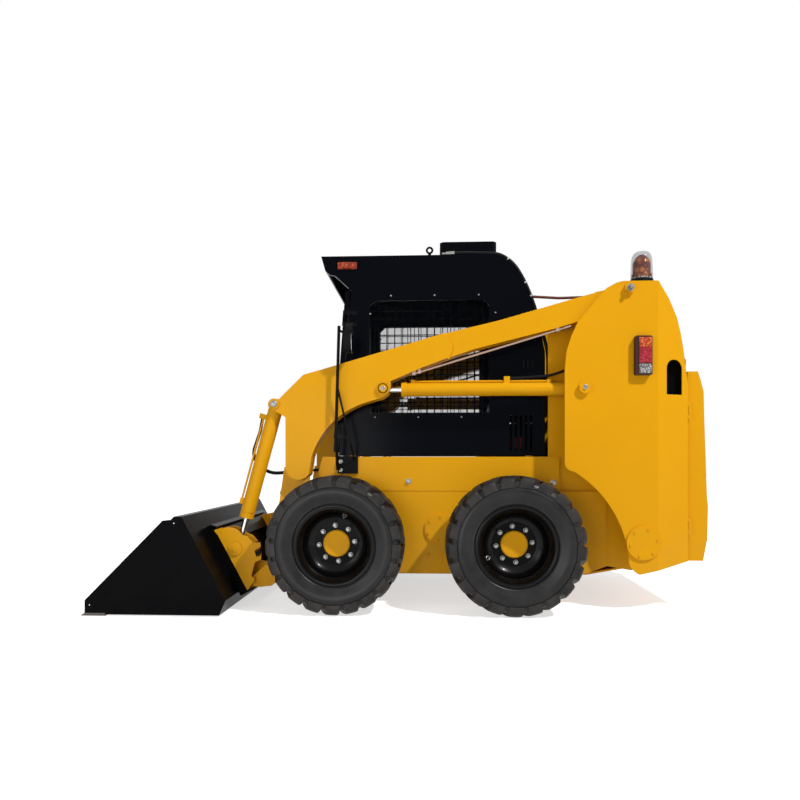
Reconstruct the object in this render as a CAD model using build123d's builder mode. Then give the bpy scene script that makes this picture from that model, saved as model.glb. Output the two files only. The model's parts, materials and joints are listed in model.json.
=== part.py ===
"""Skid steer loader, in millimetres: +X forward to the bucket, +Y to the driver's left, +Z up.

The origin is the middle of the loader's outline on the ground. Places along the loader are
measured from the front or the rear axle, and heights from the ground or from the axle's centre.
"""

import math
import os

from build123d import *

# ------------------------------------------------------------------ driving sizes
wheelbase = 1000
front_reach = 1400  # front axle to the lip of the cutting edge
rear_reach = 1130  # rear axle to the back of the rear door
tyre_diameter = 773
tyre_width = 264
tyre_outer_y = 825  # middle plane to the tyres' outer faces
bucket_width = 1700

plate = 10  # welded body plate
running_gap = 0.3  # between a pin and its eye, or a shaft and its tube
free_gap = 6  # between pieces that swing past each other

frame_half = 480  # middle plane to the frame's side
frame_inner = 300  # middle plane to the chain case's inner face
frame_bottom_drop = 206  # below the axle
frame_front = 143  # ahead of the front axle
deck_rise = 492  # frame's top above the axle

cab_half = 430
cab_wall = 25
cab_rise = 1703  # roof above the axle
cab_front = 58  # foot of the cab's front, ahead of the front axle
cab_rear = 212  # cab's back, behind the rear axle

tower_inner_y = 450
tower_outer_y = 625
arm_inner_y = 470
arm_outer_y = 600
leg_outer_y = 540
leg_inner_y = 494
ear_plate = 11
outer_ear_y = 594
inner_ear_y = 488
arm_mid_y = (arm_inner_y + arm_outer_y) / 2

axle_z = tyre_diameter / 2
front_axle_x = (wheelbase + rear_reach - front_reach) / 2
rear_axle_x = front_axle_x - wheelbase
track_half = tyre_outer_y - tyre_width / 2
deck_z = axle_z + deck_rise
frame_bottom = axle_z - frame_bottom_drop
cab_floor_z = deck_z + 6

os.makedirs("parts", exist_ok=True)


def front(x, z):
    """A side-view point, x ahead of the front axle and z above the axles' centre."""
    return (front_axle_x + x, axle_z + z)


def rear(x, z):
    """A side-view point, x ahead of the rear axle and z above the axles' centre."""
    return (rear_axle_x + x, axle_z + z)


def tail(x, z):
    """A side-view point, x ahead of the loader's rearmost face and z above the axles' centre."""
    return (rear_axle_x - rear_reach + x, axle_z + z)


def ground(x, z):
    """A side-view point, x ahead of the front axle and z above the ground."""
    return (front_axle_x + x, z)


# Pins of the arm, the cylinders and the bucket's carrier, in side view.
arm_pin = rear(-652, 1441)
lift_base_pin = rear(-403, 884)
lift_eye_pin = front(-257, 885)
tilt_top_pin = front(376, 798)
tilt_eye_pin = ground(606, 343)
carrier_pin = ground(420, 182)
pin_radius = 25
eye_radius = 36


def side_plane(y):
    """A plane facing +Y's opposite at y, so that an extrusion runs towards -Y."""
    return Plane.XZ.offset(-y)


def side_block(points, y_outer, width, mode=Mode.ADD):
    """A side-view outline, given width towards -Y from y_outer."""
    with BuildSketch(side_plane(y_outer)) as face:
        with BuildLine():
            Polyline(*points, close=True)
        make_face()
    return extrude(face.sketch, amount=width, mode=mode)


def side_disc(centre, radius, y_outer, width, mode=Mode.ADD):
    """A round plate, pin or hole across the loader."""
    with BuildSketch(side_plane(y_outer)) as face:
        with Locations(centre):
            Circle(radius)
    return extrude(face.sketch, amount=width, mode=mode)


def plan_block(points, z_bottom, height, mode=Mode.ADD):
    """A plan-view outline raised to a height."""
    with BuildSketch(Plane.XY.offset(z_bottom)) as face:
        with BuildLine():
            Polyline(*points, close=True)
        make_face()
    return extrude(face.sketch, amount=height, mode=mode)


def box_between(low, high, mode=Mode.ADD):
    """A box from its lowest to its highest corner."""
    size = [b - a for a, b in zip(low, high)]
    middle = [(a + b) / 2 for a, b in zip(low, high)]
    with Locations(tuple(middle)):
        return Box(*size, mode=mode)


def rod_between(start, end, radius, mode=Mode.ADD):
    """A round bar from one point to another."""
    span = Vector(*end) - Vector(*start)
    with BuildSketch(Plane(origin=start, z_dir=span.normalized())) as face:
        Circle(radius)
    return extrude(face.sketch, amount=span.length, mode=mode)


def finish(part, name):
    """Label a finished piece and write its file."""
    part.label = name
    export_step(part, f"parts/{name}.step")


# ------------------------------------------------------------------ tyres
# Wide low-pressure tyre in flats, one to each lug: a level crown, shoulders that fall to bulged
# walls, and dished sides down to the beads. Two rows of slanted lugs run from the shoulders past
# the middle, half a pitch apart. Made about its own axle line, outside to +Y.
rim_bead_radius = 209
rim_half = 105
rim_flange_radius = 225
lug_count = 21
lug_height = 22
lug_half_length = 42  # along the tread
tyre_radius = tyre_diameter / 2
wall_half = tyre_width / 2
lug_top = math.sqrt(tyre_radius**2 - lug_half_length**2)
crown_radius = lug_top - lug_height
crown_half = 88
wall_radius = 303  # where the walls bulge out furthest
bead_y = rim_half - 8
bead_radius = rim_flange_radius + 2
overrun = 4  # the two side cones are drawn this far past their common edge
shoulder_slope = (crown_radius - wall_radius) / (wall_half - crown_half)
dish_slope = (wall_radius - bead_radius) / (wall_half - bead_y)
lug_root = crown_radius - 36
# One lug seen from outside: across the tread, along the tread. Its leading corner carries weight.
lug_outline = [
    (wall_half + 6, -38),
    (wall_half + 6, 4),
    (-14, lug_half_length),
    (-14, 8),
]
first_lug = 90 + math.degrees(math.atan2(lug_half_length, lug_top))  # puts that corner straight down


def tyre_ring(y, radius, towards):
    """A ring of flats around the axle line, drawn at y and facing +Y or -Y."""
    with BuildSketch(
        Plane(origin=(0, y, 0), x_dir=Vector(1, 0, 0).rotate(Axis.Y, first_lug), z_dir=(0, towards, 0))
    ) as ring:
        RegularPolygon(radius, lug_count, major_radius=False)
    return ring.sketch


with BuildPart() as lug:
    with BuildSketch(Plane(origin=(lug_root, 0, 0), x_dir=(0, 1, 0), z_dir=(1, 0, 0))):
        with BuildLine():
            Polyline(*lug_outline, close=True)
        make_face()
    extrude(amount=lug_top - lug_root)
    # The outer end leans in towards the tread.
    split(
        bisect_by=Plane(origin=(lug_root, wall_half - 1, 0), x_dir=(0, 0, 1), z_dir=Vector(14, 54, 0).normalized()),
        keep=Keep.BOTTOM,
    )

with BuildPart() as tyre:
    extrude(tyre_ring(0, crown_radius, 1), amount=crown_half)
    extrude(
        tyre_ring(crown_half, crown_radius, 1),
        amount=wall_half - crown_half + overrun,
        taper=math.degrees(math.atan(shoulder_slope)),
    )
    extrude(
        tyre_ring(wall_half + overrun, wall_radius + overrun * dish_slope, -1),
        amount=wall_half - bead_y + overrun,
        taper=math.degrees(math.atan(dish_slope)),
        mode=Mode.SUBTRACT,
    )
    extrude(tyre_ring(0, rim_bead_radius, 1), amount=tyre_width, mode=Mode.SUBTRACT)
    mirror(about=Plane.XZ)
    other_lug = mirror(lug.part, about=Plane.XZ)
    pitch = 360 / lug_count
    add([lug.part.rotate(Axis.Y, first_lug + pitch * step) for step in range(lug_count)])
    add([other_lug.rotate(Axis.Y, first_lug + pitch * (step + 0.5)) for step in range(lug_count)])

# ------------------------------------------------------------------ rims
# Pressed rim: barrel with turned-out flanges, a deep bowl and a flat disc with a centre hole.
disc_y = -24  # outer face of the disc, from the wheel's middle plane
disc_thickness = 8
barrel_wall = 7
hub_hole_radius = 76.5

with BuildPart() as rim:
    with BuildSketch(Plane.XY):
        with BuildLine():
            Polyline(
                (rim_flange_radius, -rim_half),
                (rim_flange_radius, -rim_half + 7.7),
                (rim_bead_radius - 0.3, -rim_half + 7.7),
                (rim_bead_radius - 0.3, rim_half - 7.7),
                (rim_flange_radius, rim_half - 7.7),
                (rim_flange_radius, rim_half),
                (rim_bead_radius - barrel_wall, rim_half),
                (rim_bead_radius - barrel_wall - 8, rim_half - 40),
                (rim_bead_radius - barrel_wall - 16, 16),
                (158, disc_y + 8),
                (132, disc_y),
                (hub_hole_radius, disc_y),
                (hub_hole_radius, disc_y - disc_thickness),
                (134, disc_y - disc_thickness),
                (162, disc_y),
                (rim_bead_radius - barrel_wall - 14, 4),
                (rim_bead_radius - barrel_wall, -20),
                (rim_bead_radius - barrel_wall, -rim_half),
                close=True,
            )
        make_face()
    revolve(axis=Axis.Y)

# ------------------------------------------------------------------ axle hubs
# Axle flange behind the rim's disc, its pilot through the disc, and the shaft that runs inwards.
flange_radius = 128
flange_thickness = 18
pilot_reach = 20
shaft_radius = 42
axle_tube_radius = 66
tube_end_y = track_half + disc_y - disc_thickness - flange_thickness - free_gap
shaft_inner_y = frame_half + 20

with BuildPart() as hub:
    with BuildSketch(Plane.XY):
        with BuildLine():
            flange_face = disc_y - disc_thickness
            Polyline(
                (0, flange_face - flange_thickness - free_gap - (tube_end_y - shaft_inner_y)),
                (shaft_radius, flange_face - flange_thickness - free_gap - (tube_end_y - shaft_inner_y)),
                (shaft_radius, flange_face - flange_thickness),
                (flange_radius, flange_face - flange_thickness),
                (flange_radius, flange_face),
                (hub_hole_radius - running_gap, flange_face),
                (hub_hole_radius - running_gap, disc_y + pilot_reach - 6),
                (hub_hole_radius - running_gap - 6, disc_y + pilot_reach),
                (0, disc_y + pilot_reach),
                close=True,
            )
        make_face()
    revolve(axis=Axis.Y)

wheel_places = {
    "front_left": (front_axle_x, 1),
    "front_right": (front_axle_x, -1),
    "rear_left": (rear_axle_x, 1),
    "rear_right": (rear_axle_x, -1),
}
for place, (axle_x, side) in wheel_places.items():
    for kind, made in (("tyre", tyre), ("rim", rim), ("hub", hub)):
        piece = made.part if side > 0 else mirror(made.part, about=Plane.XZ)
        finish(piece.moved(Location((axle_x, side * track_half, axle_z))), f"{kind}_{place}")

# ------------------------------------------------------------------ chain cases
# Closed drive housings along both sides, with the axle tubes and the round inspection covers.
case_rear = 560  # behind the rear axle
case_top = axle_z + 290
cover_thickness = 12
seam_depth, seam_height = 4, 5  # shadow gap under the side rails
with BuildPart() as chain_cases:
    side_block(
        [
            (front_axle_x + frame_front, frame_bottom + plate),
            (front_axle_x + frame_front, case_top),
            (rear_axle_x - case_rear, case_top),
            (rear_axle_x - case_rear, axle_z - 150),
            (rear_axle_x - case_rear + 120, frame_bottom + plate),
        ],
        frame_half,
        frame_half - frame_inner,
    )
    box_between(
        (rear_axle_x - case_rear - 1, frame_half - seam_depth, case_top - seam_height),
        (front_axle_x + frame_front + 1, frame_half + 1, case_top + 1),
        Mode.SUBTRACT,
    )
    for axle_x in (front_axle_x, rear_axle_x):
        side_disc((axle_x, axle_z), axle_tube_radius, tube_end_y, tube_end_y - frame_half)
        side_disc((axle_x, axle_z), axle_tube_radius + 34, frame_half + 16, 16)
        side_disc(
            (axle_x, axle_z), shaft_radius + running_gap, tube_end_y, tube_end_y - frame_half - 10, Mode.SUBTRACT
        )
    side_disc(front(-583, 66), 85, frame_half + cover_thickness, cover_thickness)
    mirror(about=Plane.XZ)
finish(chain_cases.part, "chain_cases")

# ------------------------------------------------------------------ main frame
# Belly plate that rises towards the rear, front step panel and the cross members between the cases.
belly = 10
tail_x = rear_axle_x - rear_reach + 140
radiator_x, radiator_depth, radiator_half = tail_x + 60, 80, 330
engine_rear_x, engine_front_x, engine_half = radiator_x + radiator_depth + 90, rear_axle_x - 240, 230
with BuildPart() as main_frame:
    side_block(
        [
            (front_axle_x + frame_front, frame_bottom),
            (rear_axle_x - case_rear + 110, frame_bottom),
            (tail_x, axle_z - 110),
            (tail_x, axle_z - 100),
            (rear_axle_x - case_rear + 110, frame_bottom + belly),
            (front_axle_x + frame_front, frame_bottom + belly),
        ],
        tower_inner_y,
        2 * tower_inner_y,
    )
    # Bearers under the engine and the radiator.
    for bearer_x, bearer_foot, bearer_top in (
        (engine_front_x - 80, 8, 80),
        (engine_rear_x + 60, 56, 80),
        (radiator_x + 30, 88, 110),
    ):
        box_between(
            (bearer_x, -engine_half, frame_bottom + bearer_foot),
            (bearer_x + 30, engine_half, frame_bottom + bearer_top),
        )
    # Front panel between the cases, with its folded step.
    box_between(
        (front_axle_x + frame_front - plate, -frame_inner, frame_bottom + belly),
        (front_axle_x + frame_front, frame_inner, deck_z - 60),
    )
    box_between(
        (front_axle_x + frame_front - 70, -frame_inner, deck_z - 70),
        (front_axle_x + frame_front, frame_inner, deck_z - 60),
    )
    # Bulkhead behind the operator and the rear cross plate under the door.
    box_between(
        (rear_axle_x - 180, -frame_inner, frame_bottom + belly),
        (rear_axle_x - 180 + plate, frame_inner, deck_z - 60),
    )
    box_between(
        (tail_x, -tower_inner_y, axle_z - 110),
        (tail_x + plate, tower_inner_y, axle_z + 40),
    )
finish(main_frame.part, "main_frame")

# ------------------------------------------------------------------ side rails
# Folded plates on top of the chain cases that carry the cab, with a slanted front end.
rail_bottom = case_top
with BuildPart() as side_rails:
    side_block(
        [
            (front_axle_x + frame_front, rail_bottom),
            (front_axle_x + frame_front, deck_z - 110),
            (front_axle_x + frame_front - 30, deck_z),
            (rear_axle_x - 288, deck_z),
            (rear_axle_x - 288, rail_bottom),
        ],
        frame_half,
        100,
    )
    # Hollow behind the outer plate and under the top flange.
    box_between(
        (rear_axle_x - 400, frame_half - 101, rail_bottom - 1),
        (front_axle_x + 90, frame_half - plate, deck_z - plate),
        Mode.SUBTRACT,
    )
    # Mounting pads under the cab.
    for pad_x in (front_axle_x - 60, rear_axle_x - 120):
        with BuildSketch(Plane.XY.offset(deck_z)):
            with Locations((pad_x, cab_half - 20)):
                Circle(26)
        extrude(amount=cab_floor_z - deck_z)
    mirror(about=Plane.XZ)
finish(side_rails.part, "side_rails")

# ------------------------------------------------------------------ towers
# Rear uprights: an outer plate that arches over the tyre, an inner plate beside the cab, the
# angled rear face with its round-topped opening, and a cap. The arm and its cylinder run between.
tower_top = axle_z + 1483
tower_crease = rear_axle_x - 811
tower_back = rear_axle_x - rear_reach + 125
tower_back_y = 545
arch = [rear(-341, 408), rear(-540, 218), rear(-647, -73)]
with BuildPart() as towers:
    # Outer plate, from its top clockwise seen from the left.
    with BuildSketch(side_plane(tower_outer_y)):
        with BuildLine():
            Polyline(rear(-811, 1483), rear(-617, 1483), rear(-580, 1474), rear(-525, 1444), rear(-366, 1257))
            Polyline(rear(-366, 1257), rear(-329, 1177), rear(-301, 1090), rear(-291, 980))
            Line(rear(-291, 980), rear(-291, 450))
            ThreePointArc(rear(-291, 450), rear(-304, 424), arch[0])
            ThreePointArc(*arch)
            ThreePointArc(arch[2], rear(-668, -143), rear(-709, -176))
            Line(rear(-709, -176), rear(-811, -163))
            Line(rear(-811, -163), rear(-811, 1483))
        make_face()
    extrude(amount=plate)
    # Angled rear face and back edge.
    plan_block(
        [
            (tower_crease, tower_outer_y),
            (tower_crease, tower_outer_y - plate),
            (tower_back + 4, tower_back_y - 9),
            (tower_back + plate, tower_inner_y),
            (tower_back, tower_inner_y),
            (tower_back, tower_back_y),
        ],
        axle_z - 200,
        tower_top - axle_z + 200,
    )
    # Inner plate beside the cab.
    side_block(
        [
            tail(125, 1483),
            rear(-617, 1483),
            rear(-500, 1462),
            rear(-225, 1214),
            rear(-225, 492),
            rear(-289, 492),
            rear(-289, 290),
            rear(-case_rear, 290),
            rear(-case_rear, -150),
            rear(-709, -176),
            tail(125, -110),
        ],
        tower_inner_y + plate,
        plate,
    )
    # Cap and bottom plate between the outer and the inner plate.
    plan_block(
        [
            (rear_axle_x - 697, tower_inner_y),
            (rear_axle_x - 697, tower_outer_y),
            (tower_crease, tower_outer_y),
            (tower_back, tower_back_y),
            (tower_back, tower_inner_y),
        ],
        tower_top - 8,
        8,
    )
    # The back of the towers curves down from the cap, and its foot slopes up to the rear. Points
    # of the curve: share of the way from the crease to the back, and height above the axle.
    back_curve = [
        (tower_crease + share * (tower_back - tower_crease), axle_z + rise)
        for share, rise in ((0.01, 1484), (0.366, 1386), (0.629, 1283), (0.758, 1193), (0.845, 1109), (1, 900))
    ]
    with BuildSketch(side_plane(tower_outer_y + 5)):
        with BuildLine():
            Polyline(*back_curve, tail(25, 900), tail(25, 1500), rear(-813, 1500), back_curve[0])
        make_face()
    extrude(amount=200, mode=Mode.SUBTRACT)
    side_block(
        [rear(-700, -177), tail(125, -108), tail(25, -90), tail(25, -260), rear(-700, -260)],
        tower_outer_y + 5,
        200,
        Mode.SUBTRACT,
    )
    # Holes for the arm's and the lift cylinder's pins.
    for pin in (arm_pin, lift_base_pin):
        side_disc(pin, pin_radius + 0.1, tower_outer_y + 1, 200, Mode.SUBTRACT)
    # Raised round cover low on the outer plate.
    side_disc(rear(-729, 6), 96, tower_outer_y + cover_thickness, cover_thickness)
    # Round-topped opening in the angled face.
    opening_x, opening_half = (tower_crease + tower_back) / 2 - 8, 50
    opening_low, opening_top = axle_z + 844, axle_z + 1044
    with BuildSketch(side_plane(tower_outer_y + 40)):
        with Locations((opening_x, (opening_low + opening_top - opening_half) / 2)):
            Rectangle(2 * opening_half, opening_top - opening_half - opening_low)
        with Locations((opening_x, opening_top - opening_half)):
            Circle(opening_half)
    extrude(amount=130, mode=Mode.SUBTRACT)
    mirror(about=Plane.XZ)
finish(towers.part, "towers")

# ------------------------------------------------------------------ pivot pins
# Fixed pins of the arm and of the lift cylinders, with their outer collars.
with BuildPart() as pivot_pins:
    for pin, collar in ((arm_pin, 30), (lift_base_pin, 36)):
        side_disc(pin, pin_radius, tower_outer_y, tower_outer_y - tower_inner_y + 6)
        side_disc(pin, collar, tower_outer_y + 22, 22 - 0.2)
        side_disc(pin, pin_radius, tower_outer_y + 1, 2)
    mirror(about=Plane.XZ)
finish(pivot_pins.part, "pivot_pins")

# ------------------------------------------------------------------ engine, radiator, rear cover
with BuildPart() as engine_block:
    box_between((engine_rear_x, -engine_half, frame_bottom + 80), (engine_front_x, engine_half, axle_z + 560))
finish(engine_block.part, "engine_block")

with BuildPart() as radiator:
    box_between(
        (radiator_x, -radiator_half, frame_bottom + 110),
        (radiator_x + radiator_depth, radiator_half, axle_z + 760),
    )
finish(radiator.part, "radiator")

hood_z = axle_z + 984
with BuildPart() as rear_hood:
    side_block(
        [
            (rear_axle_x - cab_rear - free_gap, hood_z - 20),
            (rear_axle_x - cab_rear - free_gap, hood_z),
            (tower_back + 2, hood_z),
            (tower_back + 2, hood_z - 60),
            (tower_back + 14, hood_z - 60),
            (tower_back + 14, hood_z - 12),
            (rear_axle_x - cab_rear - 40, hood_z - 12),
            (rear_axle_x - cab_rear - 40, hood_z - 20),
        ],
        tower_inner_y - 0.3,
        2 * (tower_inner_y - 0.3),
    )
    for slot in range(6):
        slot_x = rear_axle_x - 420 - slot * 80
        box_between((slot_x - 12, -300, hood_z - 20), (slot_x + 12, 300, hood_z + 5), Mode.SUBTRACT)
finish(rear_hood.part, "rear_hood")

# ------------------------------------------------------------------ cab
# Front line of the cab's side leans back; the door lies in front of the posts. Heights above the
# window's sill are measured down from the roof.
cab_top = axle_z + cab_rise
door_depth = 30
post_set_back = door_depth + free_gap
front_foot = front(cab_front, deck_rise + 7)
front_head = front(-16, cab_rise - 208)
lean = math.degrees(math.atan2(front_foot[0] - front_head[0], front_head[1] - front_foot[1]))
visor_tip = front(130, cab_rise)
visor_line = [front(46, cab_rise - 117), front(81, cab_rise - 110), front(105, cab_rise - 87)]
roof_line = [rear(90, cab_rise), rear(45, cab_rise - 12), rear(-16, cab_rise - 57), rear(-60, cab_rise - 119)]
back_line = [
    rear(-94, cab_rise - 190),
    rear(-121, cab_rise - 260),
    rear(-142, cab_rise - 322),
    rear(-190, cab_rise - 480),
    rear(-cab_rear, cab_rise - 585),
]
window_low, window_high = front(-892, 745), front(-154, cab_rise - 259)
rear_window_low, rear_window_high = axle_z + 840, cab_top - 373
rear_window_half = 290
with BuildPart() as cab_sides:
    side_block(
        [
            (front_foot[0] - post_set_back, cab_floor_z),
            (front_head[0] - post_set_back, front_head[1]),
            *visor_line,
            visor_tip,
            *roof_line,
            *back_line,
            (rear_axle_x - cab_rear, cab_floor_z),
        ],
        cab_half,
        cab_wall,
    )
    # Window with clipped top corners.
    clip = 40
    side_block(
        [
            window_low,
            (window_low[0], window_high[1] - clip),
            (window_low[0] + clip, window_high[1]),
            (window_high[0] - clip, window_high[1]),
            (window_high[0], window_high[1] - clip),
            (window_high[0], window_low[1]),
        ],
        cab_half + 1,
        cab_wall + 2,
        Mode.SUBTRACT,
    )
    # Ventilation slots behind the window.
    for slot in range(5):
        slot_x = rear_axle_x - 10 - slot * 30
        box_between(
            (slot_x - 6, cab_half - cab_wall - 1, axle_z + 530), (slot_x + 6, cab_half + 1, axle_z + 740), Mode.SUBTRACT
        )
    mirror(about=Plane.XZ)
finish(cab_sides.part, "cab_sides")

# Roof panel between the sides: flat top, curved back and the visor over the door.
roof_wall = 20
inner_half = cab_half - cab_wall
with BuildPart() as cab_roof:
    side_block(
        [
            visor_tip,
            *roof_line,
            (roof_line[-1][0] + roof_wall * 0.9, roof_line[-1][1] - 4),
            (roof_line[-2][0] + 6, roof_line[-2][1] - roof_wall),
            (roof_line[0][0], roof_line[0][1] - roof_wall),
            front(120, cab_rise - roof_wall),
            front(96, cab_rise - 91),
            visor_line[-1],
        ],
        inner_half,
        2 * inner_half,
    )
    # Header behind the visor, above the door.
    box_between(
        (front_head[0] - post_set_back, -inner_half, front_head[1] + 6),
        (front_head[0] - post_set_back + 20, inner_half, cab_top - roof_wall),
    )
finish(cab_roof.part, "cab_roof")

# Rear panel with its window.
with BuildPart() as cab_rear_panel:
    side_block(
        [
            (roof_line[-1][0], roof_line[-1][1] - 0.5),
            *back_line,
            (rear_axle_x - cab_rear, cab_floor_z),
            (rear_axle_x - cab_rear + cab_wall, cab_floor_z),
            (back_line[-1][0] + cab_wall, back_line[-1][1]),
            (back_line[-2][0] + cab_wall, back_line[-2][1]),
            (back_line[0][0] + cab_wall, back_line[0][1]),
            (roof_line[-1][0] + roof_wall * 0.9, roof_line[-1][1] - 4.5),
        ],
        inner_half,
        2 * inner_half,
    )
    box_between(
        (rear_axle_x - cab_rear - 48, -rear_window_half, rear_window_low),
        (rear_axle_x - 60, rear_window_half, rear_window_high),
        Mode.SUBTRACT,
    )
finish(cab_rear_panel.part, "cab_rear_panel")

# Sill and door posts across the cab's front.
door_plane = Plane(
    origin=(front_foot[0] - post_set_back, 0, front_foot[1]),
    x_dir=(0, 1, 0),
    z_dir=Vector(1, 0, 0).rotate(Axis.Y, -lean),
)
opening_height = (front_head[1] - front_foot[1]) / math.cos(math.radians(lean))
with BuildPart() as cab_front_frame:
    with BuildSketch(door_plane):
        with Locations((0, opening_height / 2)):
            Rectangle(2 * inner_half, opening_height)
            Rectangle(2 * (inner_half - 50), opening_height - 90, mode=Mode.SUBTRACT)
    extrude(amount=-30)
finish(cab_front_frame.part, "cab_front_frame")

# Wire guards over the side windows, with upright and level wires in two layers.
wire = 5
wire_pitch = 48
with BuildPart() as window_guards:
    frame_outer = [
        (window_low[0] + 0.3, window_low[1] + 0.3),
        (window_low[0] + 0.3, window_high[1] - clip - 0.2),
        (window_low[0] + clip + 0.2, window_high[1] - 0.3),
        (window_high[0] - clip - 0.2, window_high[1] - 0.3),
        (window_high[0] - 0.3, window_high[1] - clip - 0.2),
        (window_high[0] - 0.3, window_low[1] + 0.3),
    ]
    guard_y = cab_half - 2
    rim_width = 12
    with BuildSketch(side_plane(guard_y)):
        with BuildLine():
            Polyline(*frame_outer, close=True)
        make_face()
        offset(amount=-rim_width, kind=Kind.INTERSECTION, mode=Mode.SUBTRACT)
    extrude(amount=2 * wire + 1)
    for column in range(1, int((window_high[0] - window_low[0]) / wire_pitch)):
        wire_x = window_low[0] + column * wire_pitch
        edge = min(wire_x - window_low[0], window_high[0] - wire_x)
        top = window_high[1] - 8 - max(0, clip - edge)
        box_between(
            (wire_x - wire / 2, guard_y - wire, window_low[1] + 8), (wire_x + wire / 2, guard_y - 0.5, top)
        )
    for level in range(1, int((window_high[1] - window_low[1]) / wire_pitch)):
        wire_z = window_low[1] + level * wire_pitch
        box_between(
            (window_low[0] + 8, guard_y - 2 * wire - 0.5, wire_z - wire / 2),
            (window_high[0] - 8, guard_y - wire - 0.5, wire_z + wire / 2),
        )
    mirror(about=Plane.XZ)
finish(window_guards.part, "window_guards")

# Panes inside the guards and in the rear window.
with BuildPart() as cab_glass:
    side_block(frame_outer, cab_half - 2 - 2 * wire - 1.3, 5)
    mirror(about=Plane.XZ)
    side_block(
        [
            (rear_axle_x - 153, rear_window_high - running_gap),
            (rear_axle_x - 147, rear_window_high - running_gap),
            rear(-179, cab_rise - 480),
            rear(-200, cab_rise - 585),
            (rear_axle_x - 200, rear_window_low + running_gap),
            (rear_axle_x - 206, rear_window_low + running_gap),
            rear(-206, cab_rise - 584.5),
            rear(-184.5, cab_rise - 479),
        ],
        rear_window_half - running_gap,
        2 * (rear_window_half - running_gap),
    )
finish(cab_glass.part, "cab_glass")

# ------------------------------------------------------------------ operator's place
seat_x = front_axle_x - 760
seat_top = axle_z + 470
with BuildPart() as seat_box:
    # Floor, toe step and the seat's pan over the pumps.
    side_block(
        [
            (front_axle_x + frame_front - plate - 0.3, axle_z + 120),
            (front_axle_x - 370, axle_z + 120),
            (front_axle_x - 410, seat_top - 170),
            (rear_axle_x - 160, seat_top - 170),
            (rear_axle_x - 160, seat_top - 180),
            (front_axle_x - 418, seat_top - 180),
            (front_axle_x - 380, axle_z + 110),
            (front_axle_x + frame_front - plate - 0.3, axle_z + 110),
        ],
        frame_inner - 0.3,
        2 * (frame_inner - 0.3),
    )
finish(seat_box.part, "seat_box")

with BuildPart() as seat:
    box_between((seat_x - 60, -230, seat_top - 169.7), (seat_x + 400, 230, seat_top - 60))
    side_block(
        [
            (seat_x - 50, seat_top - 100),
            (seat_x - 160, seat_top + 420),
            (seat_x - 250, seat_top + 410),
            (seat_x - 150, seat_top - 140),
        ],
        220,
        440,
    )
finish(seat.part, "seat")

with BuildPart() as controls:
    # Two drive levers that rise from the floor in front of the seat.
    for side in (1, -1):
        rod_between(
            (front_axle_x - 280, side * 240, axle_z + 121.4), (front_axle_x - 230, side * 250, axle_z + 640), 11
        )
        rod_between(
            (front_axle_x - 232, side * 250, axle_z + 620), (front_axle_x - 222, side * 250, axle_z + 740), 20
        )
finish(controls.part, "controls")

with BuildPart() as lap_bar:
    for side in (1, -1):
        rod_between(
            (seat_x - 110, side * 300, axle_z + 620), (seat_x + 300, side * 290, axle_z + 600), 14
        )
        box_between(
            (seat_x - 150, side * 330 - 30, axle_z + 590), (seat_x - 90, side * 330 + 74.7, axle_z + 650)
        )
    rod_between((seat_x + 300, -300, axle_z + 600), (seat_x + 300, 300, axle_z + 600), 16)
finish(lap_bar.part, "lap_bar")

# ------------------------------------------------------------------ on the roof
with BuildPart() as climate_unit:
    box_between(
        (front_axle_x - 937, -300, cab_top + 0.3), (front_axle_x - 589, 300, cab_top + 118)
    )
    chamfer(climate_unit.edges().filter_by(Axis.Z), 20)
finish(climate_unit.part, "climate_unit")

eye_hole = 13
with BuildPart() as lifting_eyes:
    eye_x, eye_z = front_axle_x - 525, cab_top + 28
    side_disc((eye_x, eye_z), 22, 330, 12)
    box_between((eye_x - 22, 318, cab_top + 0.3), (eye_x + 22, 330, eye_z))
    side_disc((eye_x, eye_z), eye_hole, 331, 14, Mode.SUBTRACT)
    mirror(about=Plane.XZ)
finish(lifting_eyes.part, "lifting_eyes")

# ------------------------------------------------------------------ lamps
with BuildPart() as lamps:
    # Side marker lamps at the visor.
    box_between((front_axle_x - 89, cab_half + 0.3, cab_top - 80), (front_axle_x + 28, cab_half + 20, cab_top - 38))
    # Tail lamps stacked on the towers.
    box_between(
        (rear_axle_x - 772, tower_outer_y + 0.3, axle_z + 945),
        (rear_axle_x - 674, tower_outer_y + 40, axle_z + 1172),
    )
    mirror(about=Plane.XZ)
    # Work lamps under the visor.
    for side in (1, -1):
        box_between(
            (front_axle_x + 10, side * 330 - 50, cab_top - roof_wall - 90),
            (front_axle_x + 60, side * 330 + 50, cab_top - roof_wall - 0.3),
        )
finish(lamps.part, "lamps")

beacon_x, beacon_y = rear_axle_x - 745, 540
with BuildPart() as beacon:
    with BuildSketch(Plane(origin=(beacon_x, beacon_y, tower_top + 0.3), x_dir=(1, 0, 0), z_dir=(0, -1, 0))):
        with BuildLine():
            Polyline((0, 0), (66, 0), (66, 16), (60, 22), (58, 128), (53, 152), (38, 171), (18, 182), (0, 185), (0, 0))
        make_face()
    revolve(axis=Axis((beacon_x, beacon_y, 0), (0, 0, 1)))
finish(beacon.part, "beacon")

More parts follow.
